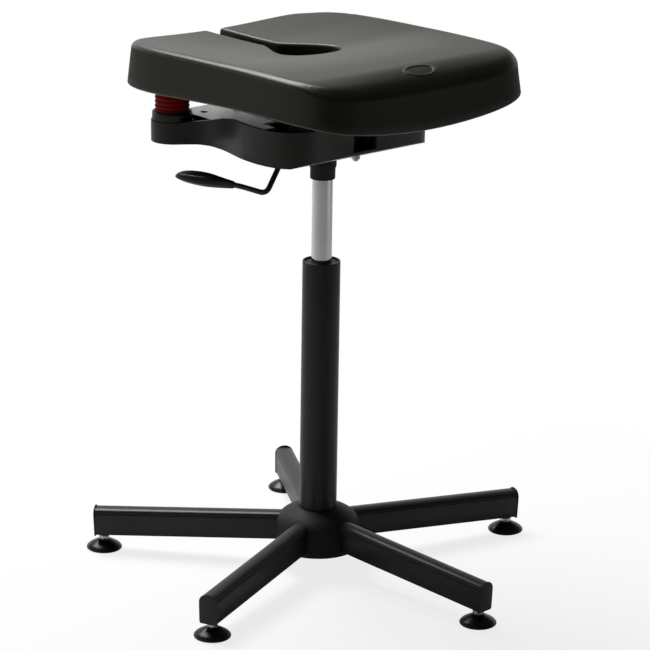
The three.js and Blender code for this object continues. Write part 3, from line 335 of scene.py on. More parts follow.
def turned(corners, sides=96, closed=False):
    """A solid of revolution about the column axis, from an eased profile of (radius, height). An
    open profile starts and ends on the axis, and a closed one makes a ring."""
    bm = bmesh.new()
    verts = [bm.verts.new((max(p.x, 0), 0, p.y)) for p in eased(corners)]
    pairs = list(zip(verts, verts[1:])) + ([(verts[-1], verts[0])] if closed else [])
    edges = [bm.edges.new(pair) for pair in pairs]
    bmesh.ops.spin(bm, geom=verts + edges, axis=UP, cent=Vector(), angle=FULL_TURN, steps=sides,
                   use_merge=True)
    return bm


def moved(bm, offset=None, turn=0.0, matrix=None):
    """The mesh set by a matrix, or turned about the column axis and moved."""
    if matrix is not None:
        bmesh.ops.transform(bm, matrix=matrix, verts=bm.verts)
    if turn:
        bmesh.ops.rotate(bm, verts=bm.verts, cent=Vector(), matrix=Matrix.Rotation(turn, 3, "Z"))
    if offset is not None:
        bmesh.ops.translate(bm, verts=bm.verts, vec=Vector(offset))
    return bm


def loop_at(bm, line, place):
    """A closed loop of edges through a line's points, each set in space by place."""
    verts = [bm.verts.new(place(p)) for p in line]
    return [bm.edges.new((verts[i - 1], verts[i])) for i in range(len(verts))]


def skinned(bm, loops):
    """A skin over loops of edges in their order, closed at both ends."""
    for near, far in zip(loops, loops[1:]):
        bmesh.ops.bridge_loops(bm, edges=near + far)
    bmesh.ops.holes_fill(bm, edges=loops[0] + loops[-1], sides=0)


# Base

# The legs: their number, directions, droop and section, whose heights are at the foot circle
LEGS = 5
FIRST_LEG = math.radians(-85.7)
LEG_DROOP = math.radians(2.9)
FOOT_CIRCLE = 293
LEG_LOW = 21.8
LEG_WIDTH = 24.6
LEG_HEIGHT = 37.1
LEG_WALL = 2.5
LEG_FROM = 36
LEG_TO = 301.5
LEG_SQUARE = 2.2
SHOULDER = 30.5
GROOVE = 1.0
CREASE = 2.3
CREASE_SET = 1.1
# Right half of the leg's section, as steps in from its side and up from a level: its lower corner
# from the bottom, its groove from the groove's middle, and the lip below its crease
LEG_CORNER = [(2, 0), (0.6, 0.6), (0, 2)]
LEG_GROOVE = [(0, -1.2), (0.3, -0.8), (GROOVE, -0.4), (GROOVE, 0.3), (0.3, 0.7), (0.2, 1.2)]
LEG_LIP = [(0.6, -0.3)]
CREASE_GAP = 0.1
HOLLOW_RISE = 0.5
# How near the leg's far end a point lies that belongs to it
END_WITHIN = 0.01


def mirrored(line):
    """A closed outline from its right half, whose last point is on the middle."""
    return line + [Vector((-p.x, p.y)) for p in reversed(line[:-1])]


def stepped(half, level, steps):
    """Points given as steps in from a side and up from a level."""
    return [Vector((half - inset, level + up)) for inset, up in steps]


def arch(half, low, top, square=2.0, steps=14):
    """The right half of a flattened arch, from its foot to its crown. It is round at a square of
    2, and flatter above that."""
    line = []
    for i in range(steps + 1):
        turn = (i / steps) * math.pi / 2
        line.append(Vector((half * math.cos(turn) ** (2 / square) if i < steps else 0,
                            low + (top - low) * math.sin(turn) ** (2 / square))))
    return line


def leg_outline():
    """Section of a leg: a flat bottom, upright sides up to a groove, and above it a low dome with
    a fine crease along each side."""
    half = LEG_WIDTH / 2
    groove_at = LEG_LOW + SHOULDER
    crease_at = groove_at + CREASE
    line = (stepped(half, LEG_LOW, LEG_CORNER) + stepped(half, groove_at, LEG_GROOVE)
            + stepped(half, crease_at, LEG_LIP))
    return mirrored(line + arch(half - CREASE_SET, crease_at + CREASE_GAP,
                                LEG_LOW + LEG_HEIGHT, LEG_SQUARE))


def leg_hollow():
    """The hollow inside the leg, a wall's thickness in."""
    half = LEG_WIDTH / 2 - LEG_WALL
    low = LEG_LOW + LEG_WALL
    line = [Vector((half, low)), Vector((half, LEG_LOW + SHOULDER))]
    return mirrored(line + arch(half, LEG_LOW + SHOULDER + HOLLOW_RISE,
                                LEG_LOW + LEG_HEIGHT - LEG_WALL))


def cap_outline():
    """Outline of an end cap, a little prouder than the leg all round and most at its top."""
    half = LEG_WIDTH / 2 + CAP_PROUD
    line = stepped(half, LEG_LOW - CAP_LIP, CAP_CORNER)
    return mirrored(line + arch(half, LEG_LOW + SHOULDER - CAP_SHOULDER,
                                LEG_LOW + LEG_HEIGHT + CAP_CROWN, CAP_SQUARE))


def drooped(bm):
    """The leg's own frame falls towards its foot and keeps its height there."""
    fall = Matrix.Rotation(LEG_DROOP, 4, "Y")
    lift = Matrix.Translation((0, 0, FOOT_CIRCLE * math.sin(LEG_DROOP)))
    return moved(bm, matrix=lift @ fall)


def make_leg():
    """A leg: its outline and its hollow run out to its end, and joined at both ends."""
    bm = bmesh.new()
    ends = []
    for line in (leg_outline(), leg_hollow()):
        near = loop_at(bm, line, lambda p: (LEG_FROM, p.x, p.y))
        run = bmesh.ops.extrude_edge_only(bm, edges=near)["geom"]
        bmesh.ops.translate(bm, verts=[v for v in run if isinstance(v, bmesh.types.BMVert)],
                            vec=(LEG_TO - LEG_FROM, 0, 0))
        far = [e for e in run if isinstance(e, bmesh.types.BMEdge)
               and all(abs(v.co.x - LEG_TO) < END_WITHIN for v in e.verts)]
        ends.append((near, far))
    for near, far in zip(*ends):
        bmesh.ops.bridge_loops(bm, edges=near + far)
    return drooped(bm)


CAP_FACE = LEG_TO + 0.3
CAP_THICK = 2.5
CAP_SWELL = 0.9
CAP_PROUD = 0.8
CAP_CROWN = 2.2
CAP_LIP = 1.6
CAP_SHOULDER = 3
CAP_SQUARE = 2.1
CAP_CORNER = [(2.4, 0), (0.7, 0.7), (0, 2.4)]
# The rim's rings, as shares of its depth and of its size, and the shares of the face's rings
CAP_RIM = [(0.0, 0.86), (0.0, 0.985), (0.25, 1.0), (0.7, 1.0), (0.9, 0.985), (0.98, 0.96),
           (1.0, 0.93)]
CAP_FACE_SHARES = (0.7, 0.4, 0.15)


def make_cap():
    """End cap: a plate with a rounded rim, and a face that swells a little outwards."""
    bm = bmesh.new()
    middle = Vector((0, LEG_LOW + LEG_HEIGHT / 2))
    line = cap_outline()
    rings = [(CAP_FACE + depth * (CAP_THICK - CAP_SWELL), share) for depth, share in CAP_RIM]
    face_edge = CAP_RIM[-1][1]
    rings += [(CAP_FACE + CAP_THICK - CAP_SWELL * share ** 2 / face_edge ** 2, share)
              for share in CAP_FACE_SHARES]
    skinned(bm, [loop_at(bm, line, lambda p: (at, *(middle + (p - middle) * share)))
                 for at, share in rings])
    return drooped(bm)


PAD_RADIUS = 24
PAD_RIM = 3
PAD_HEIGHT = 13.3
PAD_NECK = 7.6
STUD_RADIUS = 4
STUD_LOW = 4.3
STUD_PLAY = 0.3
STUD_IN_LEG = 20
SOCKET_LOW = 4
THREAD_PITCH = 1.25
THREAD_LOW = 4.8
THREAD_DEPTH = 0.5
HEX_ACROSS = 13
HEX_LOW = 13.6
HEX_HIGH = 19
HEX_CHAMFER = 0.45


def make_pad():
    """Foot pad: a disc whose top rises in a low cone to the stud."""
    return turned([
        (0, 0), (PAD_RADIUS - 1.5, 0, 0.6), (PAD_RADIUS, 1.5, 0.8), (PAD_RADIUS, PAD_RIM, 1),
        (PAD_RADIUS - 2.6, 6.1, 2.2), (PAD_NECK + 5, 11.2, 4), (PAD_NECK, PAD_HEIGHT, 0.8),
        (STUD_RADIUS + STUD_PLAY, PAD_HEIGHT), (STUD_RADIUS + STUD_PLAY, SOCKET_LOW),
        (0, SOCKET_LOW),
    ], sides=64)


def make_stud():
    """Levelling stud: a threaded shank, drawn as rings at the pitch, and its hexagon with
    softened corners."""
    top = LEG_LOW + STUD_IN_LEG
    corners = [(0, STUD_LOW), (STUD_RADIUS - 0.4, STUD_LOW)]
    at = THREAD_LOW
    while at < top - 1:
        corners += [(STUD_RADIUS, at), (STUD_RADIUS - THREAD_DEPTH, at + THREAD_PITCH / 2)]
        at += THREAD_PITCH
    bm = turned(corners + [(STUD_RADIUS - 0.8, top), (0, top)], sides=32)
    corner = HEX_ACROSS / math.sqrt(3)
    hexagon = bmesh.ops.create_cone(bm, cap_ends=True, segments=6, radius1=corner,
                                    radius2=corner, depth=HEX_HIGH - HEX_LOW)["verts"]
    bmesh.ops.translate(bm, verts=hexagon, vec=(0, 0, (HEX_LOW + HEX_HIGH) / 2))
    edges = list(dict.fromkeys(e for v in hexagon for e in v.link_edges))
    bmesh.ops.bevel(bm, geom=edges, offset=HEX_CHAMFER, segments=2, profile=0.5,
                    affect="EDGES", material=-1)
    return bm


HUB_RADIUS = 56.2
HUB_LOW = 26
HUB_SKIRT = 57
HUB_SHOULDER = 74
HUB_TOP = 82.5
TUBE_RADIUS = 25
hub_neck = TUBE_RADIUS + 3.3
hub_bore = TUBE_RADIUS + 0.3

dome_from = Vector((HUB_RADIUS, HUB_SKIRT))
dome_over = Vector((HUB_RADIUS, HUB_SHOULDER))
dome_to = Vector((hub_neck, HUB_TOP))
hub_dome = bezier(dome_from, dome_from.lerp(dome_over, 2 / 3), dome_to.lerp(dome_over, 2 / 3),
                  dome_to, 24)
hub = turned([
    (hub_bore, HUB_LOW), (HUB_RADIUS - 1, HUB_LOW, 2), (HUB_RADIUS, HUB_LOW + 3, 2),
    (HUB_RADIUS, HUB_SKIRT), *[tuple(p) for p in hub_dome], (hub_bore, HUB_TOP),
], sides=128, closed=True)
set_down("hub_casting", hub, cast_enamel, "base", ["hub"])

for number in range(1, LEGS + 1):
    turn = FIRST_LEG + (number - 1) * FULL_TURN / LEGS
    spot = Matrix.Rotation(turn, 3, "Z") @ Vector((FOOT_CIRCLE, 0, 0))
    set_down(f"leg_bar_{number}", moved(make_leg(), turn=turn), powder_coat, "base",
             [f"leg_{number}"])
    set_down(f"leg_end_{number}", moved(make_cap(), turn=turn), moulded_rubber,
             "base", [f"leg_cap_{number}"])
    foot = f"foot_{number}"
    set_down(f"foot_disc_{number}", moved(make_pad(), spot), moulded_rubber, foot,
             [f"foot_pad_{number}"])
    set_down(f"foot_bolt_{number}", moved(make_stud(), spot, turn), zinc_plate, foot,
             [f"foot_stud_{number}"])


# Column

TUBE_WALL = 2.3
TUBE_LOW = 26
TUBE_TOP = 424

column_tube = turned([
    (TUBE_RADIUS - TUBE_WALL, TUBE_LOW), (TUBE_RADIUS, TUBE_LOW, 0.5),
    (TUBE_RADIUS, TUBE_TOP, 0.8), (TUBE_RADIUS - TUBE_WALL, TUBE_TOP, 0.4),
], sides=128, closed=True)
set_down("column_sleeve", column_tube, powder_coat, "base", ["column_tube"])

BUMP_HOLE_WITHIN = 8
BUMP_HEIGHT_SHARE = 0.99
BUMP_HOLE_SHARE = 1.04


def drawn_in(bm):
    """The bump stop a hair shorter and its hole wider, so that the rod turns free in it."""
    middle = sum((v.co.z for v in bm.verts)) / len(bm.verts)
    for vert in bm.verts:
        vert.co.z = middle + (vert.co.z - middle) * BUMP_HEIGHT_SHARE
        if math.hypot(vert.co.x, vert.co.y) < BUMP_HOLE_WITHIN:
            vert.co.x *= BUMP_HOLE_SHARE
            vert.co.y *= BUMP_HOLE_SHARE


# Tilt housing and its lid

HOUSING_ROUND = 2.6
HOUSING_FRONT = -82
HOUSING_MIDDLE = Vector((0, 30))
# The channel narrows between these shares of its depth, and the edges inside the limits stay as
# they are. A wall's normal leans up or down by less than UPRIGHT.
CHANNEL_DEEP = 24
CHANNEL_HALF = 20
CHANNEL_TAPER = 0.5
CHANNEL_SHARES = (0.01, 1.05)
CHANNEL_EDGES_HALF = 24
CHANNEL_EDGES_BACK = -50
UPRIGHT = 0.3
FACES_OUT = 0.35


def round_housing(bm):
    """A mould's soft edges: the channel at the front narrows to its back, and the rim and the
    underside of the outer wall are rounded as far as the wall allows."""
    from_share, to_share = CHANNEL_SHARES
    for vert in bm.verts:
        depth = (vert.co.y - HOUSING_FRONT) / CHANNEL_DEEP
        if abs(vert.co.x) < CHANNEL_HALF and from_share < depth < to_share:
            vert.co.x *= 1 - CHANNEL_TAPER * min(1, depth)
    outer = []
    for edge in sharp_edges(bm):
        walls = [f for f in edge.link_faces if abs(f.normal.z) < UPRIGHT]
        in_channel = any(abs(v.co.x) < CHANNEL_EDGES_HALF and v.co.y < CHANNEL_EDGES_BACK
                         for v in edge.verts)
        if len(walls) != 1 or in_channel:
            continue
        outwards = (edge.verts[0].co.xy + edge.verts[1].co.xy) / 2 - HOUSING_MIDDLE
        if walls[0].normal.xy.dot(outwards) > FACES_OUT * outwards.length:
            outer.append(edge)
    bmesh.ops.bevel(bm, geom=outer, offset=HOUSING_ROUND, segments=4, profile=0.5, affect="EDGES",
                    clamp_overlap=True, material=-1)


ARMS_BACK = 23
OPENING_FORWARD = 34
OPENING_EDGE = (60, 80)
OPENING_HALF = 80


def trim_lid(bm):
    """The lid's arms end short of the axle, and its opening starts well forward."""
    for vert in bm.verts:
        if vert.co.y < 0:
            vert.co.y += ARMS_BACK
        elif OPENING_EDGE[0] < vert.co.y < OPENING_EDGE[1] and abs(vert.co.x) < OPENING_HALF:
            vert.co.y -= OPENING_FORWARD


# The pieces that keep the CAD's shape, but for those that are shaped: the finish, the slot, the
# round on their edges and the nodes
SHAPED = {"bump_stop": drawn_in, "tilt_housing": round_housing, "lid_plate": trim_lid}
for material, slot, edge, nodes in (
    (acetal, "grey_plastic", 0.5, ["guide_bushing"]),
    (powder_coat, "powder_coat", 0.5, ["tube_foot_plate"]),
    (drawn_steel, "steel", 0.3, ["thrust_bearing", "rod_clip", "piston_rod", "piston"]),
    (moulded_rubber, "moulded_black", 0.3, ["bump_stop"]),
    (chrome_plate, "chrome", 0.3, ["gas_cylinder"]),
    (cast_enamel, "cast_black", 0.8, ["cone_socket"]),
    (zinc_plate, "zinc", 0.3, ["lid_screw_left", "lid_screw_right"]),
    (moulded_nylon, "moulded_black", 0.8, ["bearing_block_left", "bearing_block_right"]),
    (zinc_plate, "zinc", 0.3, ["block_screw_left", "block_screw_right"]),
    (drawn_steel, "steel", 0.4, ["tilt_axle"]),
    (zinc_plate, "zinc", 0.3, ["stop_bolt", "stop_nut"]),
    (moulded_nylon, "moulded_black", 0.5, ["spring_cup_left", "spring_cup_right"]),
    (drawn_steel, "steel", 0.3, ["lever_bracket", "lever_pin"]),
    (zinc_plate, "zinc", 0.3, ["release_button"]),
    (board_plastic, "board", 0.8, ["seat_board"]),
    (powder_coat, "powder_coat", 0.5, ["seat_carrier"]),
    (zinc_plate, "zinc", 0.4, ["carrier_bolt_rear_right", "carrier_bolt_rear_left",
                               "carrier_bolt_front_right", "carrier_bolt_front_left"]),
    (moulded_nylon, "moulded_black", 0.5, ["tilt_housing"]),
    (zinc_plate, "zinc", 0.4, ["lid_plate"]),
):
    for node in nodes:
        refined(node, material, edge, SHAPED.get(node))


# A thin bright steel strip on each carrier flange, along its rear cut edge, is a painted highlight for the
# light that the cut edge catches.
FLANGE_AT = 82
FLANGE_HIGHLIGHT_WIDTH = 1.3
FLANGE_SKIN = 0.24
FLANGE_SOFTENED = 0.08
FLANGE_SHARE = 0.9
FLANGE_HEEL = Vector((0, -14, 600))
FLANGE_TOP = Vector((0, -53, 654))


def make_flange_highlight(across):
    """Painted highlight: a thin steel strip on a carrier flange's outer face, along its rear cut edge."""
    bm = bmesh.new()
    run = FLANGE_TOP - FLANGE_HEEL
    outwards = Vector((0, run.z, -run.y)).normalized()
    made = bmesh.ops.create_cube(bm, size=1)["verts"]
    bmesh.ops.scale(bm, verts=made, vec=(FLANGE_SKIN, run.length * FLANGE_SHARE, FLANGE_HIGHLIGHT_WIDTH))
    bmesh.ops.bevel(bm, geom=bm.edges[:], offset=FLANGE_SOFTENED, segments=2, profile=0.5,
                    affect="EDGES", material=-1)
    turn = Matrix((Vector((1, 0, 0)), run.normalized(), outwards)).transposed().to_4x4()
    middle = (FLANGE_HEEL + FLANGE_TOP) / 2 - outwards * FLANGE_HIGHLIGHT_WIDTH + Vector((across, 0, 0))
    return moved(bm, matrix=Matrix.Translation(middle) @ turn)


# The painted highlight strips, one on each flange.
for side, across in (("left", FLANGE_AT), ("right", -FLANGE_AT)):
    set_down(f"flange_edge_{side}", make_flange_highlight(across), drawn_steel, "seat", [])


# Lever

LEVER_ROD = 3.5
LEVER_BEND = 9
BEND_PULL = 0.6
LEVER_LEVEL = 599.1
LEVER_PIVOT = (-42, 0, LEVER_LEVEL)
LEVER_HUB = 6.2
LEVER_HUB_HALF = 7.4
LEVER_INSIDE = [Vector((3, 0, LEVER_LEVEL)), Vector((-86, 4, LEVER_LEVEL)),
                Vector((-98, -39.5, 592))]
LEVER_ELBOW = Vector((-133.5, -45.5, 545.4))
LEVER_KNEE = LEVER_ELBOW + Vector((-13.5, 36.5, 4.8))
LEVER_TIP = Vector((-177.5, 76.4, 552.1))
HANDLE_LENGTH = 82
HANDLE_ROLL = math.radians(-9)
ROD_IN_HANDLE = 38
handle_way = (LEVER_TIP - LEVER_KNEE).normalized()
handle_start = LEVER_TIP - handle_way * HANDLE_LENGTH


def framed(way):
    """Sideways and upward directions across a way through space."""
    side = UP.cross(way).normalized()
    return side, way.cross(side)


def swept(route, radius, sides=20):
    """A round bar along a route."""
    bm = bmesh.new()
    ring = [FULL_TURN * i / sides for i in range(sides)]
    loops = []
    across = None
    for i, spot in enumerate(route):
        way = (route[min(i + 1, len(route) - 1)] - route[max(i - 1, 0)]).normalized()
        if across is None:
            across = framed(way)[0]
        across = (across - way * across.dot(way)).normalized()
        over = way.cross(across)
        loops.append(loop_at(bm, ring, lambda a: spot + (across * math.cos(a)
                                                         + over * math.sin(a)) * radius))
    skinned(bm, loops)
    return bm


def bent_route(corners, bend, steps=10):
    """Points along straight runs joined by round bends."""
    route = [corners[0]]
    for back, here, on in zip(corners, corners[1:], corners[2:]):
        into = here + (back - here).normalized() * bend
        out = here + (on - here).normalized() * bend
        route += [into] + bezier(into, into.lerp(here, BEND_PULL), out.lerp(here, BEND_PULL), out,
                                 steps)
    return route + [corners[-1]]


def make_lever():
    """The lever: a bent round bar from the button to the handle, and a sleeve on its pivot."""
    corners = LEVER_INSIDE + [LEVER_ELBOW, LEVER_KNEE, handle_start + handle_way * ROD_IN_HANDLE]
    bm = swept(bent_route(corners, LEVER_BEND), LEVER_ROD)
    hub = bmesh.ops.create_cone(bm, cap_ends=True, segments=32, radius1=LEVER_HUB,
                                radius2=LEVER_HUB, depth=2 * LEVER_HUB_HALF)["verts"]
    bmesh.ops.rotate(bm, verts=hub, cent=Vector(), matrix=Matrix.Rotation(math.pi / 2, 3, "X"))
    bmesh.ops.translate(bm, verts=hub, vec=LEVER_PIVOT)
    return bm


# Sections of the handle from its neck to its tip: place along it, half width, half thickness,
# share of the width that the flat top keeps, and rise of the middle
HANDLE_SECTIONS = [
    (-1, 3.8, 3.8, 0.5, 0), (0.5, 4.7, 4.5, 0.5, 0), (7, 5.7, 5.3, 0.5, 0), (15, 7.0, 6.1, 0.5, 0),
    (24, 9.1, 6.7, 0.52, 0.1), (33, 11.7, 7.0, 0.56, 0.2), (42, 13.4, 7.0, 0.6, 0.3),
    (54, 13.9, 6.6, 0.62, 0.4), (66, 13.2, 5.8, 0.62, 0.4), (75, 11.2, 4.7, 0.62, 0.3),
    (81, 8.8, 3.4, 0.62, 0.1), (84, 6.4, 2.2, 0.6, -0.2), (85, 4.5, 1.2, 0.6, -0.4),
]
HANDLE_EASE = 0.38
HANDLE_EDGE_LOW = 0.15
HANDLE_UNDERSIDE = 0.6


def handle_section(half, thick, flat, rise):
    """A flattened hexagon with rounded corners: a flat top, and sides that meet at a blunt
    edge a little below the middle."""
    ease = min(half, thick) * HANDLE_EASE
    under = half * HANDLE_UNDERSIDE
    edge = rise - thick * HANDLE_EDGE_LOW
    return eased([(half * flat, rise + thick, ease), (half, edge, ease),
                  (under, rise - thick, ease), (-under, rise - thick, ease),
                  (-half, edge, ease), (-half * flat, rise + thick, ease)], 4)


def make_handle():
    """The handle: its sections set along it and rolled a little outwards, under one skin."""
    bm = bmesh.new()
    side, over = framed(handle_way)
    roll = Matrix.Rotation(HANDLE_ROLL, 3, handle_way)
    side, over = roll @ side, roll @ over
    loops = []
    for along, half, thick, flat, rise in HANDLE_SECTIONS:
        spot = handle_start + handle_way * along
        loops.append(loop_at(bm, handle_section(half, thick, flat, rise),
                             lambda p: spot + side * p.x + over * p.y))
    skinned(bm, loops)
    return bm


set_down("lever_bar", make_lever(), powder_coat, "lever", ["lever_rod"])
set_down("lever_grip", make_handle(), moulded_rubber, "lever", ["lever_handle"])


# Springs

SPRING_ACROSS = 136
SPRING_BACK = 143
SPRING_RADIUS = 22.7
SPRING_LOW = 610.6
SPRING_HIGH = 656.7
RIB_DEPTH = 1.5
RIBS = 8
RIB_STEPS = 12


def make_spring():
    """Rubber spring: a solid bar whose side swells to a rounded crest at each rib."""
    steps = RIB_STEPS * RIBS
    side = []
    for i in range(steps + 1):
        swell = (1 - math.cos(FULL_TURN * i * RIBS / steps)) / 2
        radius = SPRING_RADIUS - RIB_DEPTH * (1 - math.sqrt(swell))
        side.append((radius, SPRING_LOW + (SPRING_HIGH - SPRING_LOW) * i / steps))
    return turned([(0, SPRING_LOW)] + side + [(0, SPRING_HIGH)], sides=72)


for side, across in (("left", SPRING_ACROSS), ("right", -SPRING_ACROSS)):
    spring = set_down(f"rubber_spring_{side}", moved(make_spring(), (across, SPRING_BACK, 0)),
                      red_rubber, None, [f"seat_spring_{side}"])
    on_axis = Vector((across, SPRING_BACK, 0)) + AXIS
    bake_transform(spring, "lift", "seat", start=(on_axis + UP * SPRING_LOW) * MM,
             end=(on_axis + UP * SPRING_HIGH) * MM)


# Seat pad

# Outline seen from above: half width, front, back, and how square its corners are
SEAT_HALF = 187
SEAT_FRONT = -211
SEAT_BACK = 232
SQUARE_BACK = 5
SQUARE_FRONT = 6.8
seat_middle = (SEAT_FRONT + SEAT_BACK) / 2
seat_half_length = (SEAT_BACK - SEAT_FRONT) / 2

# Heights: the board under the pad, the pad's rise above it, and how far the pad's lower rim
# hangs below the board's level at the back, at the front of the sides, where it lies above it,
# and at the middle of the front
BOARD_LOW = 657
SEAT_RISE = 58
RIM_LOW = 10
RIM_SIDE_LOW = -5.5
RIM_FRONT_LOW = 15.5
# Shares of the rise along the middle and along the sides, evenly spaced from front to back
MIDDLE_SHARES = [0.96, 0.985, 0.975, 0.89, 0.755, 0.69, 0.64, 0.63, 0.635]
SIDE_SHARES = [0.95, 0.985, 1, 1, 0.985, 0.96, 0.925, 0.885, 0.84]

# Rounding of the edges, as a width and a drop: at the sides, the front, the back and the
# keyhole, and the waterfall at the front, whose drop is less towards the corners
EDGE_ROUND = 12
EDGE_DROP = 9
FRONT_EDGE_ROUND = 20
FRONT_EDGE_DROP = 13
BACK_ROUND = 4
BACK_DROP = 3.5
KEYHOLE_ROUND = 4.5
KEYHOLE_DROP = 3.8
FRONT_ROUND = 56
FRONT_DROP = 14
FRONT_REACH = 1.1
FRONT_LINE_HALF = 206
CORNER_EASE = 0.6
BOTTOM_ROUND = 3
BOTTOM_WIDEN = 0.6
SIDE_DRAFT = 4

# Keyhole: the slot from the back, the neck where it starts to widen, and the hole, with its
# middle's place, its half width and its reach to the front
SLOT_HALF = 11
MOUTH_ROUND = 3
MOUTH_PULL = 0.6
NECK_BACK = 110
NECK_BOW = 15
HOLE_BOW = 25
HOLE_BACK = 30
HOLE_RADIUS = 43
HOLE_FRONT = 37

# The pad's underside round the board. Its first two rings stand inside the board's edge, one
# at the board's middle height and one a little above the rim. The others are each an inset of
# the outside, an inset of the keyhole and a height above the rim.
BOARD_MIDDLE = 662
LIP_INSET = (13.9, 6.7)
LIP_GAP = 0.5
LIP_RISE = 2
LIP_RINGS = [(12.3, 5.9, 0.3), (9.9, 4.9, 0)]

# Fineness of the mesh: steps of the outline, spacing of its points, of the net inside the last
# ring and of the rounding's rings
OUTSIDE_STEPS = 360
MOUTH_STEPS = 8
SLOT_STEPS = 24
CURVE_STEPS = 20
BOTTOM_STEPS = 5
WALL_SHARES = (0.25, 0.5, 0.75)
PAD_SPACING = 2.6
PAD_NET = 3.4
NET_GAP = 0.6
NET_WITHIN = 0.0001
RING_REACH = 4.5
ROUND_STEPS = 9

# Badge place: its middle, half sizes and rim, and the shares of its size at which the rim
# starts and ends, the sunk middle starts and ends, and the net's ovals lie
BADGE = Vector((2, -179))
BADGE_HALF = (24, 13)
BADGE_RISE = 0.8
BADGE_SINK = 1.5
BADGE_RIM = (1.12, 1.0)
BADGE_WELL = (0.93, 0.8)
BADGE_RINGS = (0.35, 0.6, 0.78, 0.85, 0.92, 1.0, 1.06, 1.13, 1.25)
BADGE_STEPS = 72


def smooth_step(start, end, value):
    """A share that rises smoothly from 0 at the start to 1 at the end."""
    share = min(1, max(0, (value - start) / (end - start)))
    return share * share * (3 - 2 * share)


def share_at(shares, y):
    """A smooth line through evenly spaced shares, from the front edge to the back."""
    spot = min(1, max(0, (y - SEAT_FRONT) / (SEAT_BACK - SEAT_FRONT))) * (len(shares) - 1)
    low = min(int(spot), len(shares) - 2)
    t = spot - low
    before = shares[max(low - 1, 0)]
    a, b = shares[low], shares[low + 1]
    after = shares[min(low + 2, len(shares) - 1)]
    return a + t * ((b - before) / 2 + t * (before - 2.5 * a + 2 * b - after / 2
                                            + t * (1.5 * a - 1.5 * b + (after - before) / 2)))


def seat_top(x, y):
    """Height of the saddle, before its edges are rounded."""
    dish = min(1, (x / SEAT_HALF) ** 2)
    return BOARD_LOW + SEAT_RISE * (share_at(MIDDLE_SHARES, y) * (1 - dish)
                                    + share_at(SIDE_SHARES, y) * dish)


def rim_at(x, y):
    """Height of the pad's lower rim, which rises towards the front of the sides and hangs
    lowest at the middle of the front."""
    lift = (RIM_LOW - RIM_SIDE_LOW) * smooth_step(SEAT_BACK, SEAT_FRONT / 2, y)
    middle = max(0, 1 - (x / SEAT_HALF) ** 2)
    skirt = (RIM_FRONT_LOW - RIM_SIDE_LOW) * smooth_step(SEAT_FRONT / 2, SEAT_FRONT, y) * middle
    return BOARD_LOW - RIM_LOW + lift - skirt


def reach_at(x, y, inset=0.0):
    """How far a point lies towards the seat's outline: 0 at its middle, 1 on the outline."""
    square = SQUARE_BACK if y > seat_middle else SQUARE_FRONT
    across = abs(x) / (SEAT_HALF - inset)
    along = abs(y - seat_middle) / (seat_half_length - inset)
    return (across ** square + along ** square) ** (1 / square)


def seat_line(inset=0.0, widen=0.0):
    """The pad's outline seen from above, from the right of the slot's mouth round the front, and
    back along the keyhole. inset draws the outside in, and widen widens the keyhole."""
    half = SLOT_HALF + widen
    radius = HOLE_RADIUS + widen
    front = HOLE_FRONT + widen
    back = SEAT_BACK - inset
    start = math.atan2(back - seat_middle, half + MOUTH_ROUND)
    outside = []
    for i in range(OUTSIDE_STEPS + 1):
        turn = start - (FULL_TURN - 2 * (math.pi / 2 - start)) * i / OUTSIDE_STEPS
        way = Vector((math.cos(turn), math.sin(turn)))
        reach = reach_at(way.x, seat_middle + way.y, inset)
        outside.append(Vector((way.x / reach, seat_middle + way.y / reach)))
    mouth = back - MOUTH_ROUND
    left = [Vector((-half, mouth + (NECK_BACK - mouth) * i / SLOT_STEPS))
            for i in range(SLOT_STEPS + 1)]
    left += bezier(Vector((-half, NECK_BACK)), Vector((-half, NECK_BACK - NECK_BOW)),
                   Vector((-radius, HOLE_BACK + HOLE_BOW)), Vector((-radius, HOLE_BACK)),
                   CURVE_STEPS)
    for i in range(1, CURVE_STEPS + 1):
        turn = math.pi + (math.pi / 2) * i / CURVE_STEPS
        left.append(Vector((radius * math.cos(turn), HOLE_BACK + front * math.sin(turn))))
    corner = Vector((-half, back))
    mouth_curve = bezier(outside[-1], outside[-1].lerp(corner, MOUTH_PULL),
                         left[0].lerp(corner, MOUTH_PULL), left[0], MOUTH_STEPS)
    inner = mouth_curve[:-1] + left
    return outside + inner + [Vector((-p.x, p.y)) for p in reversed(inner[:-1])]


def stations(line, spacing):
    """Evenly spaced places on a closed line, each as an index and a share of the run up to it."""
    runs = [(line[i] - line[i - 1]).length for i in range(len(line))]
    count = round(sum(runs) / spacing)
    step = sum(runs) / count
    places = []
    walked = 0.0
    for i, run in enumerate(runs):
        while len(places) < count and len(places) * step < walked + run:
            places.append((i, (len(places) * step - walked) / run))
        walked += run
    return places


class EdgeFinder:
    """Finds how far a point lies inside a closed clockwise line, and the nearest place on it."""

    def __init__(self, line):
        self.line = line
        self.tree = KDTree(len(line))
        for i, p in enumerate(line):
            self.tree.insert((p.x, p.y, 0), i)
        self.tree.balance()

    def gap(self, p):
        """The distance inside the line, and the number of the nearest point on it."""
        _, index, _ = self.tree.find((p.x, p.y, 0))
        best = None
        for i in (index, (index + 1) % len(self.line)):
            a, b = self.line[i - 1], self.line[i]
            run = b - a
            share = min(1, max(0, (p - a).dot(run) / run.length_squared))
            away = p - a.lerp(b, share)
            side = 1 if Vector((run.y, -run.x)).dot(away) > 0 else -1
            if best is None or away.length < abs(best):
                best = side * away.length
        return best, index


def front_drop(x, y):
    """How far the waterfall at the front has fallen at a point."""
    bow = (1 - (abs(x) / FRONT_LINE_HALF) ** SQUARE_FRONT) ** (1 / SQUARE_FRONT)
    line = seat_middle - seat_half_length * bow
    share = min(FRONT_REACH, max(0, 1 - (y - line) / FRONT_ROUND))
    return FRONT_DROP * (1 - CORNER_EASE * (x / SEAT_HALF) ** 2) * share ** 2


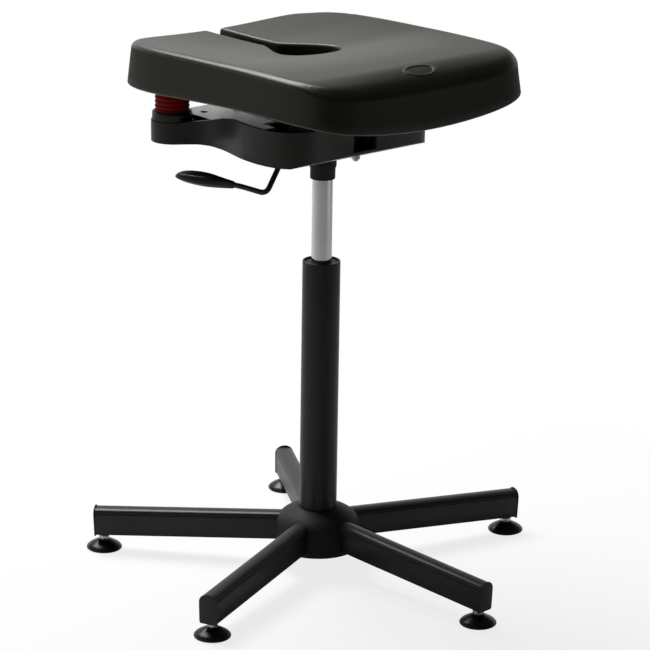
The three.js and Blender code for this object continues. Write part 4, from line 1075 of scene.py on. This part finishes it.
def pad_height(p, gap, keyhole):
    """Height of the pad's top at a distance from its edge, whose rounding falls away to the
    wall. The rounding is larger at the front, and smaller along the back and the keyhole."""
    back = smooth_step(SEAT_BACK - 3 * EDGE_ROUND, SEAT_BACK - EDGE_ROUND, p.y)
    front = smooth_step(SEAT_FRONT + 3 * FRONT_EDGE_ROUND, SEAT_FRONT + EDGE_ROUND, p.y)
    outer_wide = (EDGE_ROUND + (BACK_ROUND - EDGE_ROUND) * back
                  + (FRONT_EDGE_ROUND - EDGE_ROUND) * front)
    outer_deep = (EDGE_DROP + (BACK_DROP - EDGE_DROP) * back
                  + (FRONT_EDGE_DROP - EDGE_DROP) * front)
    wide = outer_wide + (KEYHOLE_ROUND - outer_wide) * keyhole
    deep = outer_deep + (KEYHOLE_DROP - outer_deep) * keyhole
    share = min(1, max(0, 1 - gap / wide))
    return seat_top(p.x, p.y) - front_drop(p.x, p.y) - deep * (1 - math.sqrt(1 - share * share))


def badge_height(p):
    """The plain oval place at the front of the seat, a little sunk inside a raised rim."""
    far = math.hypot((p.x - BADGE.x) / BADGE_HALF[0], (p.y - BADGE.y) / BADGE_HALF[1])
    return BADGE_RISE * (smooth_step(*BADGE_RIM, far) - BADGE_SINK * smooth_step(*BADGE_WELL, far))


def make_seat_pad():
    """The pad: rings from the board round the rim and up to the rounded top, closed by a net of
    points above and a flat face below."""
    bm = bmesh.new()
    base = seat_line()
    places = stations(base, PAD_SPACING)
    count = len(places)

    def sampled(line):
        return [line[i - 1].lerp(line[i], share) for i, share in places]

    # How much of the keyhole's rounding each point has, from 0 outside to 1 past the mouth
    keyhole = []
    for i, share in places:
        into = i - 1 + share - OUTSIDE_STEPS
        past = len(base) - 1 - (i - 1 + share)
        keyhole.append(smooth_step(0, MOUTH_STEPS, into) * smooth_step(0, MOUTH_STEPS, past))
    edge = sampled(base)
    rims = [rim_at(p.x, p.y) for p in edge]

    def ring(inset, widen, height):
        line = sampled(seat_line(inset, widen))
        return [bm.verts.new((p.x, p.y, height(i, p))) for i, p in enumerate(line)]

    rings = [
        ring(*LIP_INSET, lambda i, p: BOARD_MIDDLE),
        ring(*LIP_INSET, lambda i, p: min(rims[i] + LIP_RISE, BOARD_MIDDLE - LIP_GAP)),
    ]
    for inset, widen, up in LIP_RINGS:
        rings.append(ring(inset, widen, lambda i, p: rims[i] + up))
    for i in range(BOTTOM_STEPS + 1):
        turn = math.pi / 2 * i / BOTTOM_STEPS
        inset = BOTTOM_ROUND * (1 - math.sin(turn))
        rings.append(ring(inset, inset * BOTTOM_WIDEN,
                          lambda i, p: rims[i] + BOTTOM_ROUND * (1 - math.cos(turn))))
    walls = [pad_height(p, 0, k) for p, k in zip(edge, keyhole)]
    for share in WALL_SHARES:
        rings.append(ring(SIDE_DRAFT * share, 0, lambda i, p: (
            rims[i] + BOTTOM_ROUND + (walls[i] - rims[i] - BOTTOM_ROUND) * share)))
    for i in range(ROUND_STEPS + 1):
        gap = RING_REACH * (1 - math.cos(math.pi / 2 * i / ROUND_STEPS))
        rings.append(ring(SIDE_DRAFT + gap, gap, lambda i, p: pad_height(p, gap, keyhole[i])))
    for low, high in zip(rings, rings[1:]):
        for i in range(count):
            bm.faces.new((low[i - 1], low[i], high[i], high[i - 1]))

    # The top inside the last ring: a net of points joined to the ring
    finder = EdgeFinder(sampled(seat_line(SIDE_DRAFT, 0)))
    inner_edge = [v.co.xy.copy() for v in rings[-1]]
    net = []
    for i in range(round(-SEAT_HALF / PAD_NET), round(SEAT_HALF / PAD_NET) + 1):
        for j in range(round((SEAT_BACK - SEAT_FRONT) / PAD_NET) + 1):
            p = Vector((i * PAD_NET, SEAT_FRONT + j * PAD_NET))
            if finder.gap(p)[0] > RING_REACH + PAD_NET * NET_GAP:
                net.append(p)
    for far in BADGE_RINGS:
        for i in range(BADGE_STEPS):
            turn = FULL_TURN * i / BADGE_STEPS
            net.append(BADGE + Vector((BADGE_HALF[0] * far * math.cos(turn),
                                       BADGE_HALF[1] * far * math.sin(turn))))
    rim_pairs = [(i, (i + 1) % count) for i in range(count)]
    spots, _, faces, sources, _, _ = delaunay_2d_cdt(inner_edge + net, rim_pairs, [], 1,
                                                     NET_WITHIN)
    made = []
    for spot, source in zip(spots, sources):
        on_ring = [i for i in source if i < count]
        if on_ring:
            made.append(rings[-1][on_ring[0]])
            continue
        gap, index = finder.gap(spot)
        height = pad_height(spot, gap, keyhole[index]) + badge_height(spot)
        made.append(bm.verts.new((*spot, height)))
    for face in faces:
        bm.faces.new([made[i] for i in face])
    under = [bm.edges.get((rings[0][i - 1], rings[0][i])) for i in range(count)]
    bmesh.ops.triangle_fill(bm, edges=under, use_beauty=True)
    return bm


seat_pad = set_down("seat_foam", make_seat_pad(), foam_skin, "seat", ["seat_pad"],
                    crease=60)


# Stage

# The studio beyond the stool is a white backdrop, and the side behind the camera is dim. The
# backdrop fades in over the first range, as a way turns towards it, and out over the second,
# as the way rises.
DIM_LEVEL = 0.05
BACKDROP_TURN = CAMERA_TURN - math.radians(42)
BACKDROP_SIDES = (-0.75, 0.45)
BACKDROP_TOP = (0.18, 0.5)
backdrop_way = (math.sin(BACKDROP_TURN), math.cos(BACKDROP_TURN), 0)

# The floor, with its lengths in metres. The stool is lit by, and mirrors, the first colour. The
# camera sees the second, mixed with plain white: by the share near the stool, where a shadow
# shows, and wholly from the far limit on.
FLOOR_HALF = 20
FLOOR_COLOUR = "#D8D8D8"
FLOOR_SEEN = "#FFFFFF"
FLOOR_WHITE = 0.8
SHADOW_NEAR = 0.42
SHADOW_FAR = 0.9

# Soft boxes, in metres and watts: name, place, width, power and what each is aimed at
LAMPS = [
    ("key", (0.1, 1.6, 2.7), 1.6, 100, (0, 0, 0.4)),
    ("floor_light", (1.7, -2.0, 0.55), 1.2, 5, (1.7, -2.0, 0)),
]


def make_world():
    """A white backdrop beyond the stool and at its sides, and a dim room above it and behind the
    camera. The camera itself sees white all round."""
    world = bpy.data.worlds.new("studio")
    world.use_nodes = True
    tree = world.node_tree
    tree.nodes.clear()
    way = add_node(tree, "ShaderNodeTexCoord").outputs["Generated"]
    away = add_node(tree, "ShaderNodeVectorMath", {"operation": "DOT_PRODUCT"},
                    {0: way, 1: backdrop_way}).outputs["Value"]
    rise = add_node(tree, "ShaderNodeSeparateXYZ", None, {0: way}).outputs["Z"]
    beyond = smooth_ramp(tree, away, BACKDROP_SIDES)
    below = smooth_ramp(tree, rise, BACKDROP_TOP, (1.0, 0.0))
    backdrop = add_node(tree, "ShaderNodeMath", {"operation": "MULTIPLY"}, {0: beyond, 1: below})
    level = add_node(tree, "ShaderNodeMapRange", None,
                     {"Value": backdrop.outputs[0], "To Min": DIM_LEVEL}).outputs[0]
    seen = add_node(tree, "ShaderNodeLightPath").outputs["Is Camera Ray"]
    strength = add_node(tree, "ShaderNodeMath", {"operation": "MAXIMUM"}, {0: level, 1: seen})
    light = add_node(tree, "ShaderNodeBackground", None,
                     {"Color": (1, 1, 1, 1), "Strength": strength.outputs[0]})
    add_node(tree, "ShaderNodeOutputWorld", None, {"Surface": light.outputs[0]})
    bpy.context.scene.world = world


def make_floor():
    """A pale floor that keeps the stool's shadow, and is white to the camera further out."""
    bm = bmesh.new()
    bmesh.ops.create_grid(bm, x_segments=1, y_segments=1, size=FLOOR_HALF)
    mesh = bpy.data.meshes.new("floor")
    bm.to_mesh(mesh)
    bm.free()
    floor = bpy.data.objects.new("floor", mesh)
    bpy.context.scene.collection.objects.link(floor)
    material = bpy.data.materials.new("pale_studio_floor")
    material.use_nodes = True
    tree = material.node_tree
    tree.nodes.clear()
    place = add_node(tree, "ShaderNodeTexCoord").outputs["Object"]
    reach = add_node(tree, "ShaderNodeVectorMath", {"operation": "LENGTH"}, {0: place})
    far = smooth_ramp(tree, reach.outputs["Value"], (SHADOW_NEAR, SHADOW_FAR), (FLOOR_WHITE, 1.0))
    seen = add_node(tree, "ShaderNodeLightPath").outputs["Is Camera Ray"]
    white = add_node(tree, "ShaderNodeMath", {"operation": "MULTIPLY"}, {0: seen, 1: far})
    colour = add_node(tree, "ShaderNodeMix", {"data_type": "RGBA"},
                      {0: seen, 6: linear(FLOOR_COLOUR), 7: linear(FLOOR_SEEN)}).outputs[2]
    paper = add_node(tree, "ShaderNodeBsdfDiffuse", None, {"Color": colour}).outputs[0]
    backdrop = add_node(tree, "ShaderNodeEmission", None, {"Color": (1, 1, 1, 1)}).outputs[0]
    shader = add_node(tree, "ShaderNodeMixShader", None,
                      {0: white.outputs[0], 1: paper, 2: backdrop})
    add_node(tree, "ShaderNodeOutputMaterial", None, {"Surface": shader.outputs[0]})
    mesh.materials.append(material)


def make_lamps():
    """The key above and a little beyond the stool, and a low lamp that lights the floor at the
    camera's right."""
    for name, spot, size, power, target in LAMPS:
        lamp = bpy.data.lights.new(name, "AREA")
        lamp.size = size
        lamp.energy = power
        holder = bpy.data.objects.new(name, lamp)
        holder.location = spot
        aim = Vector(target) - Vector(spot)
        holder.rotation_euler = aim.to_track_quat("-Z", "Y").to_euler()
        bpy.context.scene.collection.objects.link(holder)


make_world()
make_floor()
make_lamps()
bpy.context.scene.view_settings.view_transform = "Standard"
